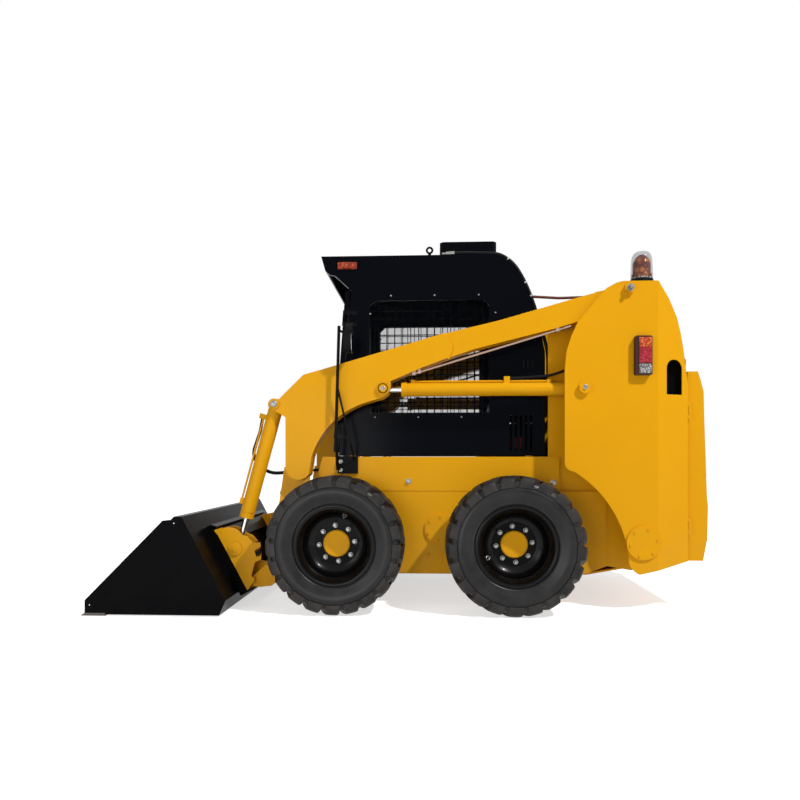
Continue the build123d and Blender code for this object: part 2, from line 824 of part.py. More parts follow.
# ------------------------------------------------------------------ mirrors
# Bracket on the rail, a pole that leans out past the arm, a bent brace and an oval mirror head.
pole_radius = 9
pole_y = arm_outer_y + 42
with BuildPart() as mirrors:
    box_between(
        (front_axle_x - 100, frame_half + 0.3, axle_z + 392), (front_axle_x + 21, frame_half + 12, axle_z + 496)
    )
    foot_point = (front_axle_x + 12, frame_half + 74, axle_z + 420)
    knee_point = (front_axle_x + 10, pole_y, axle_z + 610)
    head_point = (front_axle_x - 8, pole_y, axle_z + 1240)
    brace_top = (front_axle_x - 2, pole_y, axle_z + 879)
    brace_knee = (front_axle_x - 70, pole_y - 16, axle_z + 574)
    brace_foot = (front_axle_x - 80, frame_half + 6, axle_z + 470)
    rod_between((foot_point[0], frame_half + 2, foot_point[2]), foot_point, pole_radius)
    rod_between(foot_point, knee_point, pole_radius)
    rod_between(knee_point, head_point, pole_radius)
    rod_between(brace_top, brace_knee, 6)
    rod_between(brace_knee, brace_foot, 6)
    for joint, joint_radius in ((foot_point, pole_radius), (knee_point, pole_radius), (brace_knee, 6)):
        with Locations(joint):
            Sphere(joint_radius)
    with BuildSketch(Plane(origin=(front_axle_x - 84, pole_y + 20, axle_z + 1164), x_dir=(0, 1, 0), z_dir=(1, 0, 0.1))):
        Ellipse(54, 88)
    extrude(amount=42, taper=12)
    rod_between((front_axle_x - 60, pole_y, axle_z + 1190), (front_axle_x - 8, pole_y, axle_z + 1215), 7)
    mirror(about=Plane.XZ)
finish(mirrors.part, "mirrors")

# ------------------------------------------------------------------ lift arms
# Box beam back to the tower, a deeper fabricated box over the front wheel, and the lower leg
# that runs down inboard of the tyre to the carrier's pin.
with BuildPart() as lift_arms:
    beam_outer = arm_outer_y - 12
    beam_inner = arm_inner_y + 8
    # Rear beam with the pivot's end.
    with BuildSketch(side_plane(beam_outer)):
        with BuildLine():
            Polyline(rear(-670, 1474), rear(-525, 1442), rear(-354, 1396), rear(-119, 1329), front(-928, 1275))
            # Its front end lies inside the box.
            Polyline(front(-928, 1275), front(-530, 1182), front(-470, 1160), front(-470, 1008), front(-520, 1020))
            Polyline(front(-520, 1020), front(-653, 1068), front(-795, 1114))
            Polyline(front(-795, 1114), rear(-235, 1223), rear(-372, 1263), rear(-600, 1330), rear(-676, 1420))
            Line(rear(-676, 1420), rear(-670, 1474))
        make_face()
    extrude(amount=beam_outer - beam_inner)
    side_disc(arm_pin, eye_radius, beam_outer, beam_outer - beam_inner)
    # Fabricated front box.
    with BuildSketch(side_plane(arm_outer_y)):
        with BuildLine():
            Polyline(
                front(-600, 1199), front(-147, 1068), front(107, 995), front(204, 969), front(230, 945), front(356, 821)
            )
            ThreePointArc(front(356, 821), front(410, 812), front(400, 770))
            Polyline(front(400, 770), front(350, 745), front(311, 720), front(311, 426))
            ThreePointArc(front(311, 426), front(247, 359), front(174, 390))
            Line(front(174, 390), front(159, 489))
            ThreePointArc(front(159, 489), front(60, 665), front(-147, 802))
            Line(front(-147, 802), front(-232, 827))
            ThreePointArc(front(-232, 827), front(-292, 868), front(-300, 928))
            Polyline(front(-300, 928), front(-476, 1003), front(-540, 1026), front(-636, 1062))
            ThreePointArc(front(-636, 1062), front(-653, 1128), front(-600, 1199))
        make_face()
    extrude(amount=arm_outer_y - arm_inner_y)
    # Lower leg with its rounded end.
    side_block(
        [
            front(330, 430),
            front(360, 230),
            ground(427, 269),
            ground(478, 190),
            ground(440, 130),
            ground(360, 160),
            front(230, -40),
            front(180, 420),
        ],
        leg_outer_y,
        leg_outer_y - leg_inner_y,
    )
    side_disc(carrier_pin, 60, leg_outer_y, leg_outer_y - leg_inner_y)
    # Fork for the tilt cylinder's top and pocket for the lift rod's eye.
    box_between(
        (front_axle_x + 306, arm_inner_y + 12, axle_z + 650),
        (front_axle_x + 430, arm_outer_y - 12, axle_z + 900),
        Mode.SUBTRACT,
    )
    box_between(
        (front_axle_x - 345, arm_mid_y - 36, axle_z + 700),
        (front_axle_x - 190, arm_mid_y + 36, axle_z + 948),
        Mode.SUBTRACT,
    )
    side_disc(arm_pin, pin_radius + running_gap, beam_outer + 1, 200, Mode.SUBTRACT)
    side_disc(carrier_pin, pin_radius + running_gap, leg_outer_y + 1, 200, Mode.SUBTRACT)
    # The tilt cylinder's top pin, and the ends of the lift rod's pin either side of its pocket.
    side_disc(tilt_top_pin, 20, arm_outer_y + 12, arm_outer_y - arm_inner_y + 12)
    side_disc(tilt_top_pin, 30, arm_outer_y + 14, 14)
    side_disc(lift_eye_pin, 30, arm_outer_y + 14, 14)
    side_disc(lift_eye_pin, 24, arm_inner_y, 10)
    mirror(about=Plane.XZ)
finish(lift_arms.part, "lift_arms")

with BuildPart() as arm_cross_tube:
    tube_centre = front(270, 250)
    side_disc(tube_centre, 60, leg_inner_y, 2 * leg_inner_y)
finish(arm_cross_tube.part, "arm_cross_tube")

# ------------------------------------------------------------------ lift cylinders
lift_barrel_radius = 39
rod_radius = 20
lift_direction = Vector(lift_eye_pin[0] - lift_base_pin[0], 0, lift_eye_pin[1] - lift_base_pin[1])
lift_span = lift_direction.length
lift_barrel_length = lift_span - 104
with BuildPart() as lift_barrels:
    base = Vector(lift_base_pin[0], arm_mid_y, lift_base_pin[1])
    run = lift_direction.normalized()
    side_disc(lift_base_pin, eye_radius, arm_mid_y + 30, 60)
    rod_between(tuple(base + run * 30), tuple(base + run * lift_barrel_length), lift_barrel_radius)
    rod_between(tuple(base + run * (lift_barrel_length - 34)), tuple(base + run * lift_barrel_length), 44)
    # Port blocks: where each starts from the base pin, its length and its height above the axis.
    for block_start, block_length, block_rise in ((176, 24, 56), (412, 34, 74), (962, 24, 56)):
        box_between(
            (lift_base_pin[0] + block_start, arm_mid_y - 14, lift_base_pin[1] + 30),
            (lift_base_pin[0] + block_start + block_length, arm_mid_y + 14, lift_base_pin[1] + block_rise),
        )
    rod_between(
        (lift_base_pin[0] + 190, arm_mid_y, lift_base_pin[1] + 47),
        (lift_base_pin[0] + 970, arm_mid_y, lift_base_pin[1] + 47),
        6,
    )
    side_disc(lift_base_pin, pin_radius + running_gap, arm_mid_y + 31, 62, Mode.SUBTRACT)
    rod_between(
        tuple(base + run * (lift_span - 750)),
        tuple(base + run * (lift_barrel_length + 1)),
        rod_radius + running_gap,
        Mode.SUBTRACT,
    )
    mirror(about=Plane.XZ)
finish(lift_barrels.part, "lift_barrels")

with BuildPart() as lift_rods:
    tip = Vector(lift_eye_pin[0], arm_mid_y, lift_eye_pin[1])
    rod_between(tuple(tip - run * 740), tuple(tip - run * 28), rod_radius)
    side_disc(lift_eye_pin, 34, arm_mid_y + 25, 50)
    side_disc(lift_eye_pin, 20, arm_mid_y + 34, 68)
    mirror(about=Plane.XZ)
finish(lift_rods.part, "lift_rods")

# ------------------------------------------------------------------ tilt cylinders
tilt_barrel_radius = 42
tilt_rod_radius = 18
tilt_direction = Vector(tilt_eye_pin[0] - tilt_top_pin[0], 0, tilt_eye_pin[1] - tilt_top_pin[1])
tilt_span = tilt_direction.length
tilt_barrel_length = 690
tilt_eye_radius = 26
down = tilt_direction.normalized()
ahead = Vector(-down.Z, 0, down.X)


def along_tilt(distance, rise, y=arm_mid_y):
    """A point down the tilt cylinder from its top pin, rising ahead of its axis, at a given y."""
    place = Vector(tilt_top_pin[0], y, tilt_top_pin[1]) + down * distance + ahead * rise
    return tuple(place)


def tilt_block(start, end, rise, y_outer, width):
    """A port block on the tilt cylinder's front side, between two distances from its top pin."""
    corners = [along_tilt(start, 30), along_tilt(start, rise), along_tilt(end, rise), along_tilt(end, 30)]
    side_block([(x, z) for x, _, z in corners], y_outer, width)


with BuildPart() as tilt_barrels:
    top = Vector(tilt_top_pin[0], arm_mid_y, tilt_top_pin[1])
    side_disc(tilt_top_pin, 34, arm_mid_y + 28, 56)
    rod_between(tuple(top + down * 28), tuple(top + down * tilt_barrel_length), tilt_barrel_radius)
    # Upper and lower port blocks with the tube between them, and the groove behind the gland.
    tilt_block(72, 102, 80, arm_mid_y + 14, 28)
    tilt_block(585, 617, 62, arm_mid_y + 14, 28)
    rod_between(along_tilt(95, 55), along_tilt(600, 55), 6)
    with BuildSketch(Plane(origin=tuple(top + down * (tilt_barrel_length - 36)), z_dir=down)):
        Circle(tilt_barrel_radius + 1)
        Circle(tilt_barrel_radius - 3, mode=Mode.SUBTRACT)
    extrude(amount=5, mode=Mode.SUBTRACT)
    side_disc(tilt_top_pin, 20 + running_gap, arm_mid_y + 29, 58, Mode.SUBTRACT)
    rod_between(
        tuple(top + down * 150),
        tuple(top + down * (tilt_barrel_length + 1)),
        tilt_rod_radius + running_gap,
        Mode.SUBTRACT,
    )
    mirror(about=Plane.XZ)
finish(tilt_barrels.part, "tilt_barrels")

with BuildPart() as tilt_rods:
    low = Vector(tilt_eye_pin[0], arm_mid_y, tilt_eye_pin[1])
    rod_between(tuple(low - down * (tilt_span - 290)), tuple(low - down * 20), tilt_rod_radius)
    side_disc(tilt_eye_pin, tilt_eye_radius, arm_mid_y + 20, 40)
    between_ears = outer_ear_y - ear_plate - inner_ear_y - 2 * running_gap
    side_disc(tilt_eye_pin, 15, outer_ear_y - ear_plate - running_gap, between_ears)
    mirror(about=Plane.XZ)
finish(tilt_rods.part, "tilt_rods")

# ------------------------------------------------------------------ hoses and pipes
# Rubber hoses run from the cylinders' port blocks, steel pipes along the arms' undersides and a
# conduit from the cab to the left tower. Bends keep to four of the hose's own diameters or more.


def pipe_along(points, bends, radius):
    """A round pipe on straight runs joined by arcs, one bend radius to each inner point."""
    with BuildLine() as route:
        FilletPolyline(*points, radius=bends)
    with BuildSketch(Plane(origin=route.line @ 0, z_dir=route.line % 0)) as section:
        Circle(radius)
    sweep(section.sketch, path=route.line)


hose_radius = 10
with BuildPart() as tilt_hoses:
    # Swivel on the upper port block's inner face, down ahead of the barrel, then behind it to the
    # arm's inner face.
    swivel_y, arm_side_y = arm_mid_y - 26, arm_inner_y - 12
    start_x, _, start_z = along_tilt(88, 68)
    side_disc((start_x, start_z), 13, arm_mid_y - 14 - running_gap, 22)
    end_x, end_z = ground(262, 789)
    side_disc((end_x, end_z), 13, arm_inner_y - running_gap, 22)
    pipe_along(
        [
            (start_x, swivel_y, start_z),
            (ground(481, 1031)[0], swivel_y, 1031),
            (ground(545, 855)[0], swivel_y - 14, 855),
            (ground(430, 778)[0], arm_side_y, 778),
            (end_x, arm_side_y, end_z),
        ],
        [200, 105, 120],
        hose_radius,
    )
    mirror(about=Plane.XZ)
finish(tilt_hoses.part, "tilt_hoses")

lift_hose_radius = 8
with BuildPart() as lift_hoses:
    # From the rear port block up over the barrel's base, into a swivel on top of its eye.
    port_x, port_z = lift_base_pin[0] + 412 - running_gap, lift_base_pin[1] + 64
    eye_top_z = lift_base_pin[1] + eye_radius + running_gap
    rod_between((port_x, arm_mid_y, port_z), (port_x - 60, arm_mid_y, port_z + 1), lift_hose_radius + 2)
    rod_between(
        (lift_base_pin[0], arm_mid_y, eye_top_z), (lift_base_pin[0], arm_mid_y, eye_top_z + 20), lift_hose_radius + 2
    )
    pipe_along(
        [
            (port_x - 50, arm_mid_y, port_z + 1),
            (lift_base_pin[0] + 173, arm_mid_y, port_z + 14),
            (lift_base_pin[0] + 8, arm_mid_y, port_z + 76),
            (lift_base_pin[0], arm_mid_y, eye_top_z + 10),
        ],
        [300, 66],
        lift_hose_radius,
    )
    mirror(about=Plane.XZ)
finish(lift_hoses.part, "lift_hoses")

# The arm's lower edge from the lift cylinder's pin back to the tower.
arm_underside = [front(-300, 928), front(-476, 1003), front(-540, 1026), front(-653, 1068), front(-795, 1114)]
arm_underside += [rear(-235, 1223), rear(-372, 1263)]
pipe_y = arm_mid_y + 40


def under_arm(x):
    """Height of the arm's lower edge at x, with its slope."""
    for (x1, z1), (x2, z2) in zip(arm_underside, arm_underside[1:]):
        if x2 <= x <= x1:
            slope = (z2 - z1) / (x2 - x1)
            return z1 + (x - x1) * slope, slope
    raise ValueError("x is not under the arm")


with BuildPart() as arm_pipes:
    pipe_front = ground(-425, 1356)
    pipe_rear = ground(-1333, 1626)
    pipe_slope = (pipe_rear[1] - pipe_front[1]) / (pipe_rear[0] - pipe_front[0])
    rod_between((pipe_front[0], pipe_y, pipe_front[1]), (pipe_rear[0], pipe_y, pipe_rear[1]), 7)
    rod_between(
        (pipe_rear[0] + 40, pipe_y, pipe_rear[1] + 40 * pipe_slope), (pipe_rear[0], pipe_y, pipe_rear[1]), 10
    )
    # Clamps that hang the pipe from the arm, and its front port.
    for clamp_x, clamp_length in ((-435, 20), (-468, 16), (-1258, 20)):
        x1, x2 = front_axle_x + clamp_x - clamp_length / 2, front_axle_x + clamp_x + clamp_length / 2
        low = pipe_front[1] + (x1 - pipe_front[0]) * pipe_slope - 12
        side_block(
            [
                (x1, low),
                (x1, under_arm(x1)[0] - running_gap),
                (x2, under_arm(x2)[0] - running_gap),
                (x2, low),
            ],
            pipe_y + 11,
            22,
        )
    mirror(about=Plane.XZ)
finish(arm_pipes.part, "arm_pipes")

with BuildPart() as wiring_conduit:
    pipe_along(
        [
            (rear_axle_x - 120.5, 398, cab_top - 248),
            (rear_axle_x - 300, 408, (cab_top - 248 + tower_top - 37) / 2 - 10),
            (rear_axle_x - 500, 408, tower_top - 37),
            (rear_axle_x - 500, tower_inner_y - running_gap, tower_top - 37),
        ],
        [400, 40],
        8,
    )
finish(wiring_conduit.part, "wiring_conduit")

# ------------------------------------------------------------------ carrier
# Quick-attach carrier: paired ear plates each side, a lipped rail along the top, a lower rail,
# and the lock levers with their wedges. Its front edges lie on the bucket's mounting face.
face_low = ground(536, 98)
face_top = ground(709, 417)
face_length = math.dist(face_low, face_top)
face_up = ((face_top[0] - face_low[0]) / face_length, (face_top[1] - face_low[1]) / face_length)


def face(up, ahead):
    """A side-view point, up the mounting face from its lower edge and ahead of it."""
    return (
        face_low[0] + up * face_up[0] + ahead * face_up[1],
        face_low[1] + up * face_up[1] - ahead * face_up[0],
    )


lip_rise, lip_reach, rail_plate = 37, 8, 8
web_plate = 8
mount_half = outer_ear_y
ear_outline = [
    face(face_length + lip_rise, lip_reach - 4),
    face(face_length, -4),
    face(face_length, 0),
    face_low,
    ground(497, 153),
    ground(494, 169),
    ground(513, 180),
    ground(508, 208),
    ground(495, 250),
    ground(480, 296),
    ground(491, 332),
    ground(502, 373),
    ground(536, 409),
    ground(563, 419),
    ground(603, 455),
    ground(647, 466),
]
lobe = [
    face(8, -4),
    face(3, -32),
    ground(470, 112),
    ground(400, 120),
    ground(372, 150),
    ground(365, 200),
    ground(400, 245),
    ground(505, 262),
]
with BuildPart() as carrier:
    side_block(ear_outline, outer_ear_y, ear_plate)
    side_block(ear_outline, inner_ear_y, ear_plate)
    # Lobes around the carrier pin, either side of the leg's end.
    side_block(lobe, inner_ear_y, ear_plate)
    side_block([*lobe[:-1], ground(440, 240), ground(520, 170)], 557, ear_plate)
    side_disc(carrier_pin, pin_radius, 560, 560 - inner_ear_y + ear_plate + 6)
    # Lower rail behind the face, and the top rail with its lip bent forward.
    side_block([face(0, 0), face(70, 0), face(70, -12), face(12, -18)], outer_ear_y, 2 * outer_ear_y)
    side_block(
        [
            face(312, 0),
            face(face_length, 0),
            face(face_length + lip_rise, lip_reach),
            face(face_length + lip_rise + 2, lip_reach - rail_plate),
            face(face_length + 1, -rail_plate),
            face(312, -rail_plate),
        ],
        outer_ear_y,
        2 * outer_ear_y,
    )
    # Slots in the lower rail where the wedges slide.
    wedge_y = 535
    box_between((face_low[0] - 40, wedge_y - 17, 0), (face_low[0] + 60, wedge_y + 17, 185), Mode.SUBTRACT)
    # Ends of the tilt rod's pin, either side of its eye.
    side_disc(tilt_eye_pin, 17, outer_ear_y + 8, 8)
    side_disc(tilt_eye_pin, 17, inner_ear_y - ear_plate, 8)
    mirror(about=Plane.XZ)
finish(carrier.part, "carrier")

# Lock levers: handle above, wedge's lug below.
lever_plate = 12
with BuildPart() as carrier_levers:
    side_block(
        [
            ground(514, 374),
            ground(458, 380),
            ground(454, 355),
            ground(491, 332),
            ground(480, 296),
            ground(452, 304),
            ground(454, 280),
            ground(494, 263),
            ground(512, 262),
        ],
        outer_ear_y + running_gap + lever_plate,
        lever_plate,
    )
    mirror(about=Plane.XZ)
finish(carrier_levers.part, "carrier_levers")

# ------------------------------------------------------------------ bucket
bucket_half = bucket_width / 2
side_wall = 12
side_outline = [
    ground(front_reach - 25, 16),
    ground(front_reach - 25, 86),
    ground(938, 526),
    ground(892, 531),
    ground(874, 549),
    ground(832, 549),
    ground(587, 90),
    ground(623, 8),
    ground(760, 8),
    ground(front_reach - 141, 8),
    ground(front_reach - 140, 16),
]
with BuildPart() as bucket:
    side_block(side_outline, bucket_half, side_wall)
    side_block(side_outline, -bucket_half + side_wall, side_wall)
    # Floor, heel, back and top rail, folded from one sheet.
    shell_outer = [
        ground(front_reach - 140.2, 8),
        ground(623, 8),
        ground(587, 90),
        ground(832, 549),
        ground(874, 549),
        ground(892, 531),
        ground(885, 522),
        ground(868, 538),
        ground(838, 538),
        ground(597, 88),
        ground(628, 16),
        ground(front_reach - 140.2, 16),
    ]
    side_block(shell_outer, bucket_half - side_wall, 2 * (bucket_half - side_wall))
    # Mounting webs, hook flange over the carrier's lip, and lower lip under its rail.
    web = [
        face(-4, 50),
        face(-4, 0),
        face(face_length, 0),
        face(face_length + lip_rise, lip_reach),
        face(431, 13),
        face(440, 47),
    ]
    for ear_y in (outer_ear_y, inner_ear_y):
        side_block(web, ear_y, web_plate)
        side_block(web, web_plate - ear_y, web_plate)
    side_block(
        [face(440, 47), face(440, 8), face(414, -18), face(407, -11), face(431, 13), face(431, 47)],
        mount_half,
        2 * mount_half,
    )
    side_block([face(-10, 50), face(-10, -30), face(0, -30), face(0, 50)], mount_half, 2 * mount_half)
    for side in (1, -1):
        box_between(
            (face_low[0] - 22, side * wedge_y - 20, 60), (face_low[0] + 14, side * wedge_y + 20, 125), Mode.SUBTRACT
        )
    for hole in (ground(874, 512), ground(front_reach - 52, 60)):
        side_disc(hole, 12, bucket_half + 1, 2 * bucket_half + 2, Mode.SUBTRACT)
finish(bucket.part, "bucket")

with BuildPart() as cutting_edge:
    side_block(
        [
            ground(front_reach, 0),
            ground(front_reach - 140, 0),
            ground(front_reach - 140, 16),
            ground(front_reach - 25, 16),
        ],
        bucket_half,
        bucket_width,
    )
finish(cutting_edge.part, "cutting_edge")

# ------------------------------------------------------------------ rear door
door_half = 520
rear_hinge = (tower_back - 11, door_half + 14)
rear_hinge_heights = (axle_z + 95, axle_z + 757)
hinge_pin_radius = 6
knuckle_radius = 11
knuckle_half = 22
with BuildPart() as rear_door:
    side_block(
        [
            tail(119, 983),
            tail(60, 983),
            tail(43, 931),
            tail(27, 865),
            tail(23, 703),
            tail(8, 260),
            tail(2, 208),
            tail(6, 18),
            tail(30, -109),
            tail(119, -109),
        ],
        door_half,
        2 * door_half,
    )
    # Hollow inside.
    side_block(
        [tail(125, 958), tail(70, 958), tail(45, 840), tail(27, 208), tail(45, -84), tail(125, -84)],
        door_half - 20,
        2 * (door_half - 20),
        Mode.SUBTRACT,
    )
    for slot in range(9):
        slot_z = axle_z + 200 + slot * 62
        box_between((tail(-30, 0)[0], -360, slot_z), (tail(70, 0)[0], 360, slot_z + 30), Mode.SUBTRACT)
    # Middle knuckles of its hinges.
    for height in rear_hinge_heights:
        with BuildSketch(Plane.XY.offset(height - knuckle_half)):
            with Locations(rear_hinge):
                Circle(knuckle_radius)
            with Locations((rear_hinge[0] - 5.5, rear_hinge[1] - 10)):
                Rectangle(11, 20)
        extrude(amount=2 * knuckle_half)
        with BuildSketch(Plane.XY.offset(height - knuckle_half - 1)):
            with Locations(rear_hinge):
                Circle(hinge_pin_radius + running_gap)
        extrude(amount=2 * knuckle_half + 2, mode=Mode.SUBTRACT)
finish(rear_door.part, "rear_door")

# ------------------------------------------------------------------ front door
front_hinge = (cab_half + 4, free_gap + door_depth - 6)
front_hinge_heights = (150, opening_height - 170)
with BuildPart() as front_door:
    with BuildSketch(door_plane.offset(free_gap)):
        with Locations((0, opening_height / 2 + 8)):
            Rectangle(2 * (cab_half - 6), opening_height - 24)
            Rectangle(2 * (cab_half - 66), opening_height - 144, mode=Mode.SUBTRACT)
    extrude(amount=door_depth)
    for height in front_hinge_heights:
        knuckle_plane = Plane(
            origin=door_plane.from_local_coords((0, height - knuckle_half, 0)),
            x_dir=door_plane.x_dir,
            z_dir=door_plane.y_dir,
        )
        with BuildSketch(knuckle_plane):
            with Locations((front_hinge[0], -front_hinge[1])):
                Circle(9)
            with Locations((front_hinge[0] - 9, -front_hinge[1] - 3)):
                Rectangle(18, 11)
        extrude(amount=2 * knuckle_half)
        with BuildSketch(knuckle_plane.offset(-1)):
            with Locations((front_hinge[0], -front_hinge[1])):
                Circle(5 + running_gap)
        extrude(amount=2 * knuckle_half + 2, mode=Mode.SUBTRACT)
finish(front_door.part, "front_door")

with BuildPart() as door_glass:
    with BuildSketch(door_plane.offset(free_gap + 10)):
        with Locations((0, opening_height / 2 + 8)):
            Rectangle(2 * (cab_half - 66.3), opening_height - 144.6)
    extrude(amount=6)
finish(door_glass.part, "door_glass")

# ------------------------------------------------------------------ door hinges
# Fixed halves of the hinges: pins with an end knuckle above and below, and their leaves.
end_knuckle = 24
with BuildPart() as door_hinges:
    for height in front_hinge_heights:
        for start, length, radius in (
            (-knuckle_half - end_knuckle, 2 * (knuckle_half + end_knuckle), 5),
            (-knuckle_half - end_knuckle, end_knuckle - 1, 9),
            (knuckle_half + 1, end_knuckle - 1, 9),
        ):
            ring_plane = Plane(
                origin=door_plane.from_local_coords((0, height + start, 0)),
                x_dir=door_plane.x_dir,
                z_dir=door_plane.y_dir,
            )
            with BuildSketch(ring_plane):
                with Locations((front_hinge[0], -front_hinge[1])):
                    Circle(radius)
            extrude(amount=length)
            if radius > 5:
                with BuildSketch(ring_plane):
                    with Locations((cab_half + 4.3, -(front_hinge[1] - 50) / 2)):
                        Rectangle(8, front_hinge[1] + 50)
                extrude(amount=length)
    for height in rear_hinge_heights:
        for start, length, radius in (
            (-knuckle_half - end_knuckle, 2 * (knuckle_half + end_knuckle), hinge_pin_radius),
            (-knuckle_half - end_knuckle, end_knuckle - 1, knuckle_radius),
            (knuckle_half + 1, end_knuckle - 1, knuckle_radius),
        ):
            with BuildSketch(Plane.XY.offset(height + start)):
                with Locations(rear_hinge):
                    Circle(radius)
                if radius > hinge_pin_radius:
                    with Locations(((rear_hinge[0] + tower_back - 0.3) / 2, rear_hinge[1])):
                        Rectangle(tower_back - 0.3 - rear_hinge[0], 2 * knuckle_radius)
            extrude(amount=length)
finish(door_hinges.part, "door_hinges")
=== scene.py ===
"""Skid steer loader with its bucket down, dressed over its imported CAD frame. Metres, +X ahead."""

import json
import math

import bmesh
import bpy
import numpy as np
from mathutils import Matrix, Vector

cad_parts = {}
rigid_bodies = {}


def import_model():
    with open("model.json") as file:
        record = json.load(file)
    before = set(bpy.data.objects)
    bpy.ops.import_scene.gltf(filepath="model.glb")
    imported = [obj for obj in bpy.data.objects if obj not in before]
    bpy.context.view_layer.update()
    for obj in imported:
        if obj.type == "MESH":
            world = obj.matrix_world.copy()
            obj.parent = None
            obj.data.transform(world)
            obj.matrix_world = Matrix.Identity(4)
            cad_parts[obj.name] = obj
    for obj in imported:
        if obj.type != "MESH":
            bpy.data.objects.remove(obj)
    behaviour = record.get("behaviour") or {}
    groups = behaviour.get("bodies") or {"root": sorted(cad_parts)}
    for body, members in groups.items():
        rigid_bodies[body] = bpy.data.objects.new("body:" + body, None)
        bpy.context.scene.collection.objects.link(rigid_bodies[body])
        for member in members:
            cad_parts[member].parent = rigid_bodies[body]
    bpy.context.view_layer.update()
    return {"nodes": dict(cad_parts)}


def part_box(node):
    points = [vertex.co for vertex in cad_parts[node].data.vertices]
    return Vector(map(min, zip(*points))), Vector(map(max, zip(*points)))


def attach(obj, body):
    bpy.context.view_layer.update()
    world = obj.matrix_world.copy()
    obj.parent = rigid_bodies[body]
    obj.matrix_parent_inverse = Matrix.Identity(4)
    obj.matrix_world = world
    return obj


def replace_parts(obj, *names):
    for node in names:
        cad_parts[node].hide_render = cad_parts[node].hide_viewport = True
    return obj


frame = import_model()
nodes = frame["nodes"]

# ---------------------------------------------------------------- where the loader stands
# The front axle and the ground are what the pieces below are placed from: x ahead of the front
# axle, y from the middle plane to the driver's left, z above the ground.
tyre_low, tyre_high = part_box("tyre_front_left")
axle_x = (tyre_low.x + tyre_high.x) / 2


def at(x, y, z):
    """A point x ahead of the front axle, y to the left and z above the ground."""
    return np.array((axle_x + x, y, z))


# ---------------------------------------------------------------- camera
# Stands level with the loader's left side, a little behind the front axle, and turns slightly
# towards the bucket. Its lens is shifted up so that upright lines stay upright.
camera_data = bpy.data.cameras.new("camera")
camera_data.lens = 30.56
camera_data.shift_y = 0.075
camera = bpy.data.objects.new("camera", camera_data)
camera.location = at(-0.540, 4.510, 0.859)
camera.rotation_euler = (math.radians(90), 0, math.radians(182.7))
bpy.context.scene.collection.objects.link(camera)
bpy.context.scene.camera = camera

# ---------------------------------------------------------------- floor, sky and lamps
# A pale floor that keeps the loader's shadow and fades to white away from it, a white surround for
# the camera and for reflections, and soft lamps: a key high behind the camera on the loader's rear
# side, a broad one overhead, and two weak ones, from the bucket's end and from the left side.


def add_node(tree, kind, values=(), **settings):
    """A shader node of one kind in a tree, with its settings and its sockets' values."""
    node = tree.nodes.new("ShaderNode" + kind)
    for name, setting in settings.items():
        setattr(node, name, setting)
    for socket, value in dict(values).items():
        node.inputs[socket].default_value = value
    return node


def wire(tree, *pairs):
    """Join sockets of a tree, each pair from an output to an input."""
    for output, socket in pairs:
        tree.links.new(output, socket)


def new_material(name, values):
    """A material, its node tree and its shader, whose own sockets take the values."""
    material = bpy.data.materials.new(name)
    material.use_nodes = True
    shade = material.node_tree.nodes["Principled BSDF"]
    for socket, value in values.items():
        shade.inputs[socket].default_value = value
    return material, material.node_tree, shade


floor_reach = 30
floor_corners = [(x * floor_reach, y * floor_reach, 0) for x, y in ((-1, -1), (1, -1), (1, 1), (-1, 1))]
floor_mesh = bpy.data.meshes.new("floor")
floor_mesh.from_pydata(floor_corners, [], [(0, 1, 2, 3)])
floor = bpy.data.objects.new("floor", floor_mesh)
bpy.context.scene.collection.objects.link(floor)
floor_material, tree, shade = new_material(
    "pale_floor", {"Base Color": (0.8, 0.8, 0.8, 1), "Roughness": 0.9, "Specular IOR Level": 0.1}
)
place = add_node(tree, "TexCoord")
distance = add_node(tree, "VectorMath", operation="LENGTH")
fade = add_node(tree, "MapRange", {"From Min": 1.2, "From Max": 3.4, "To Min": 0.62, "To Max": 1.0})
seen = add_node(tree, "LightPath")
either = add_node(tree, "Math", operation="MAXIMUM")
strength = add_node(tree, "Math", operation="MULTIPLY")
glow = add_node(tree, "Emission")
total = add_node(tree, "AddShader")
wire(
    tree,
    (place.outputs["Object"], distance.inputs[0]),
    (distance.outputs["Value"], fade.inputs["Value"]),
    (seen.outputs["Is Camera Ray"], either.inputs[0]),
    (seen.outputs["Is Glossy Ray"], either.inputs[1]),
    (either.outputs[0], strength.inputs[0]),
    (fade.outputs[0], strength.inputs[1]),
    (strength.outputs[0], glow.inputs["Strength"]),
    (shade.outputs[0], total.inputs[0]),
    (glow.outputs[0], total.inputs[1]),
    (total.outputs[0], tree.nodes["Material Output"].inputs["Surface"]),
)
floor_mesh.materials.append(floor_material)

world = bpy.data.worlds.new("white_surround")
world.use_nodes = True
bpy.context.scene.world = world
tree = world.node_tree
sky = tree.nodes["Background"]
sky.inputs["Color"].default_value = (0.90, 0.95, 1.0, 1)
sky.inputs["Strength"].default_value = 0.17
white = add_node(tree, "Background", {"Color": (1, 1, 1, 1), "Strength": 1.0})
seen = add_node(tree, "LightPath")
either = add_node(tree, "Math", operation="MAXIMUM")
any_of_three = add_node(tree, "Math", operation="MAXIMUM")
pick = add_node(tree, "MixShader")
wire(
    tree,
    (seen.outputs["Is Camera Ray"], either.inputs[0]),
    (seen.outputs["Is Transmission Ray"], either.inputs[1]),
    (either.outputs[0], any_of_three.inputs[0]),
    (seen.outputs["Is Glossy Ray"], any_of_three.inputs[1]),
    (any_of_three.outputs[0], pick.inputs[0]),
    (sky.outputs[0], pick.inputs[1]),
    (white.outputs[0], pick.inputs[2]),
    (pick.outputs[0], tree.nodes["World Output"].inputs["Surface"]),
)

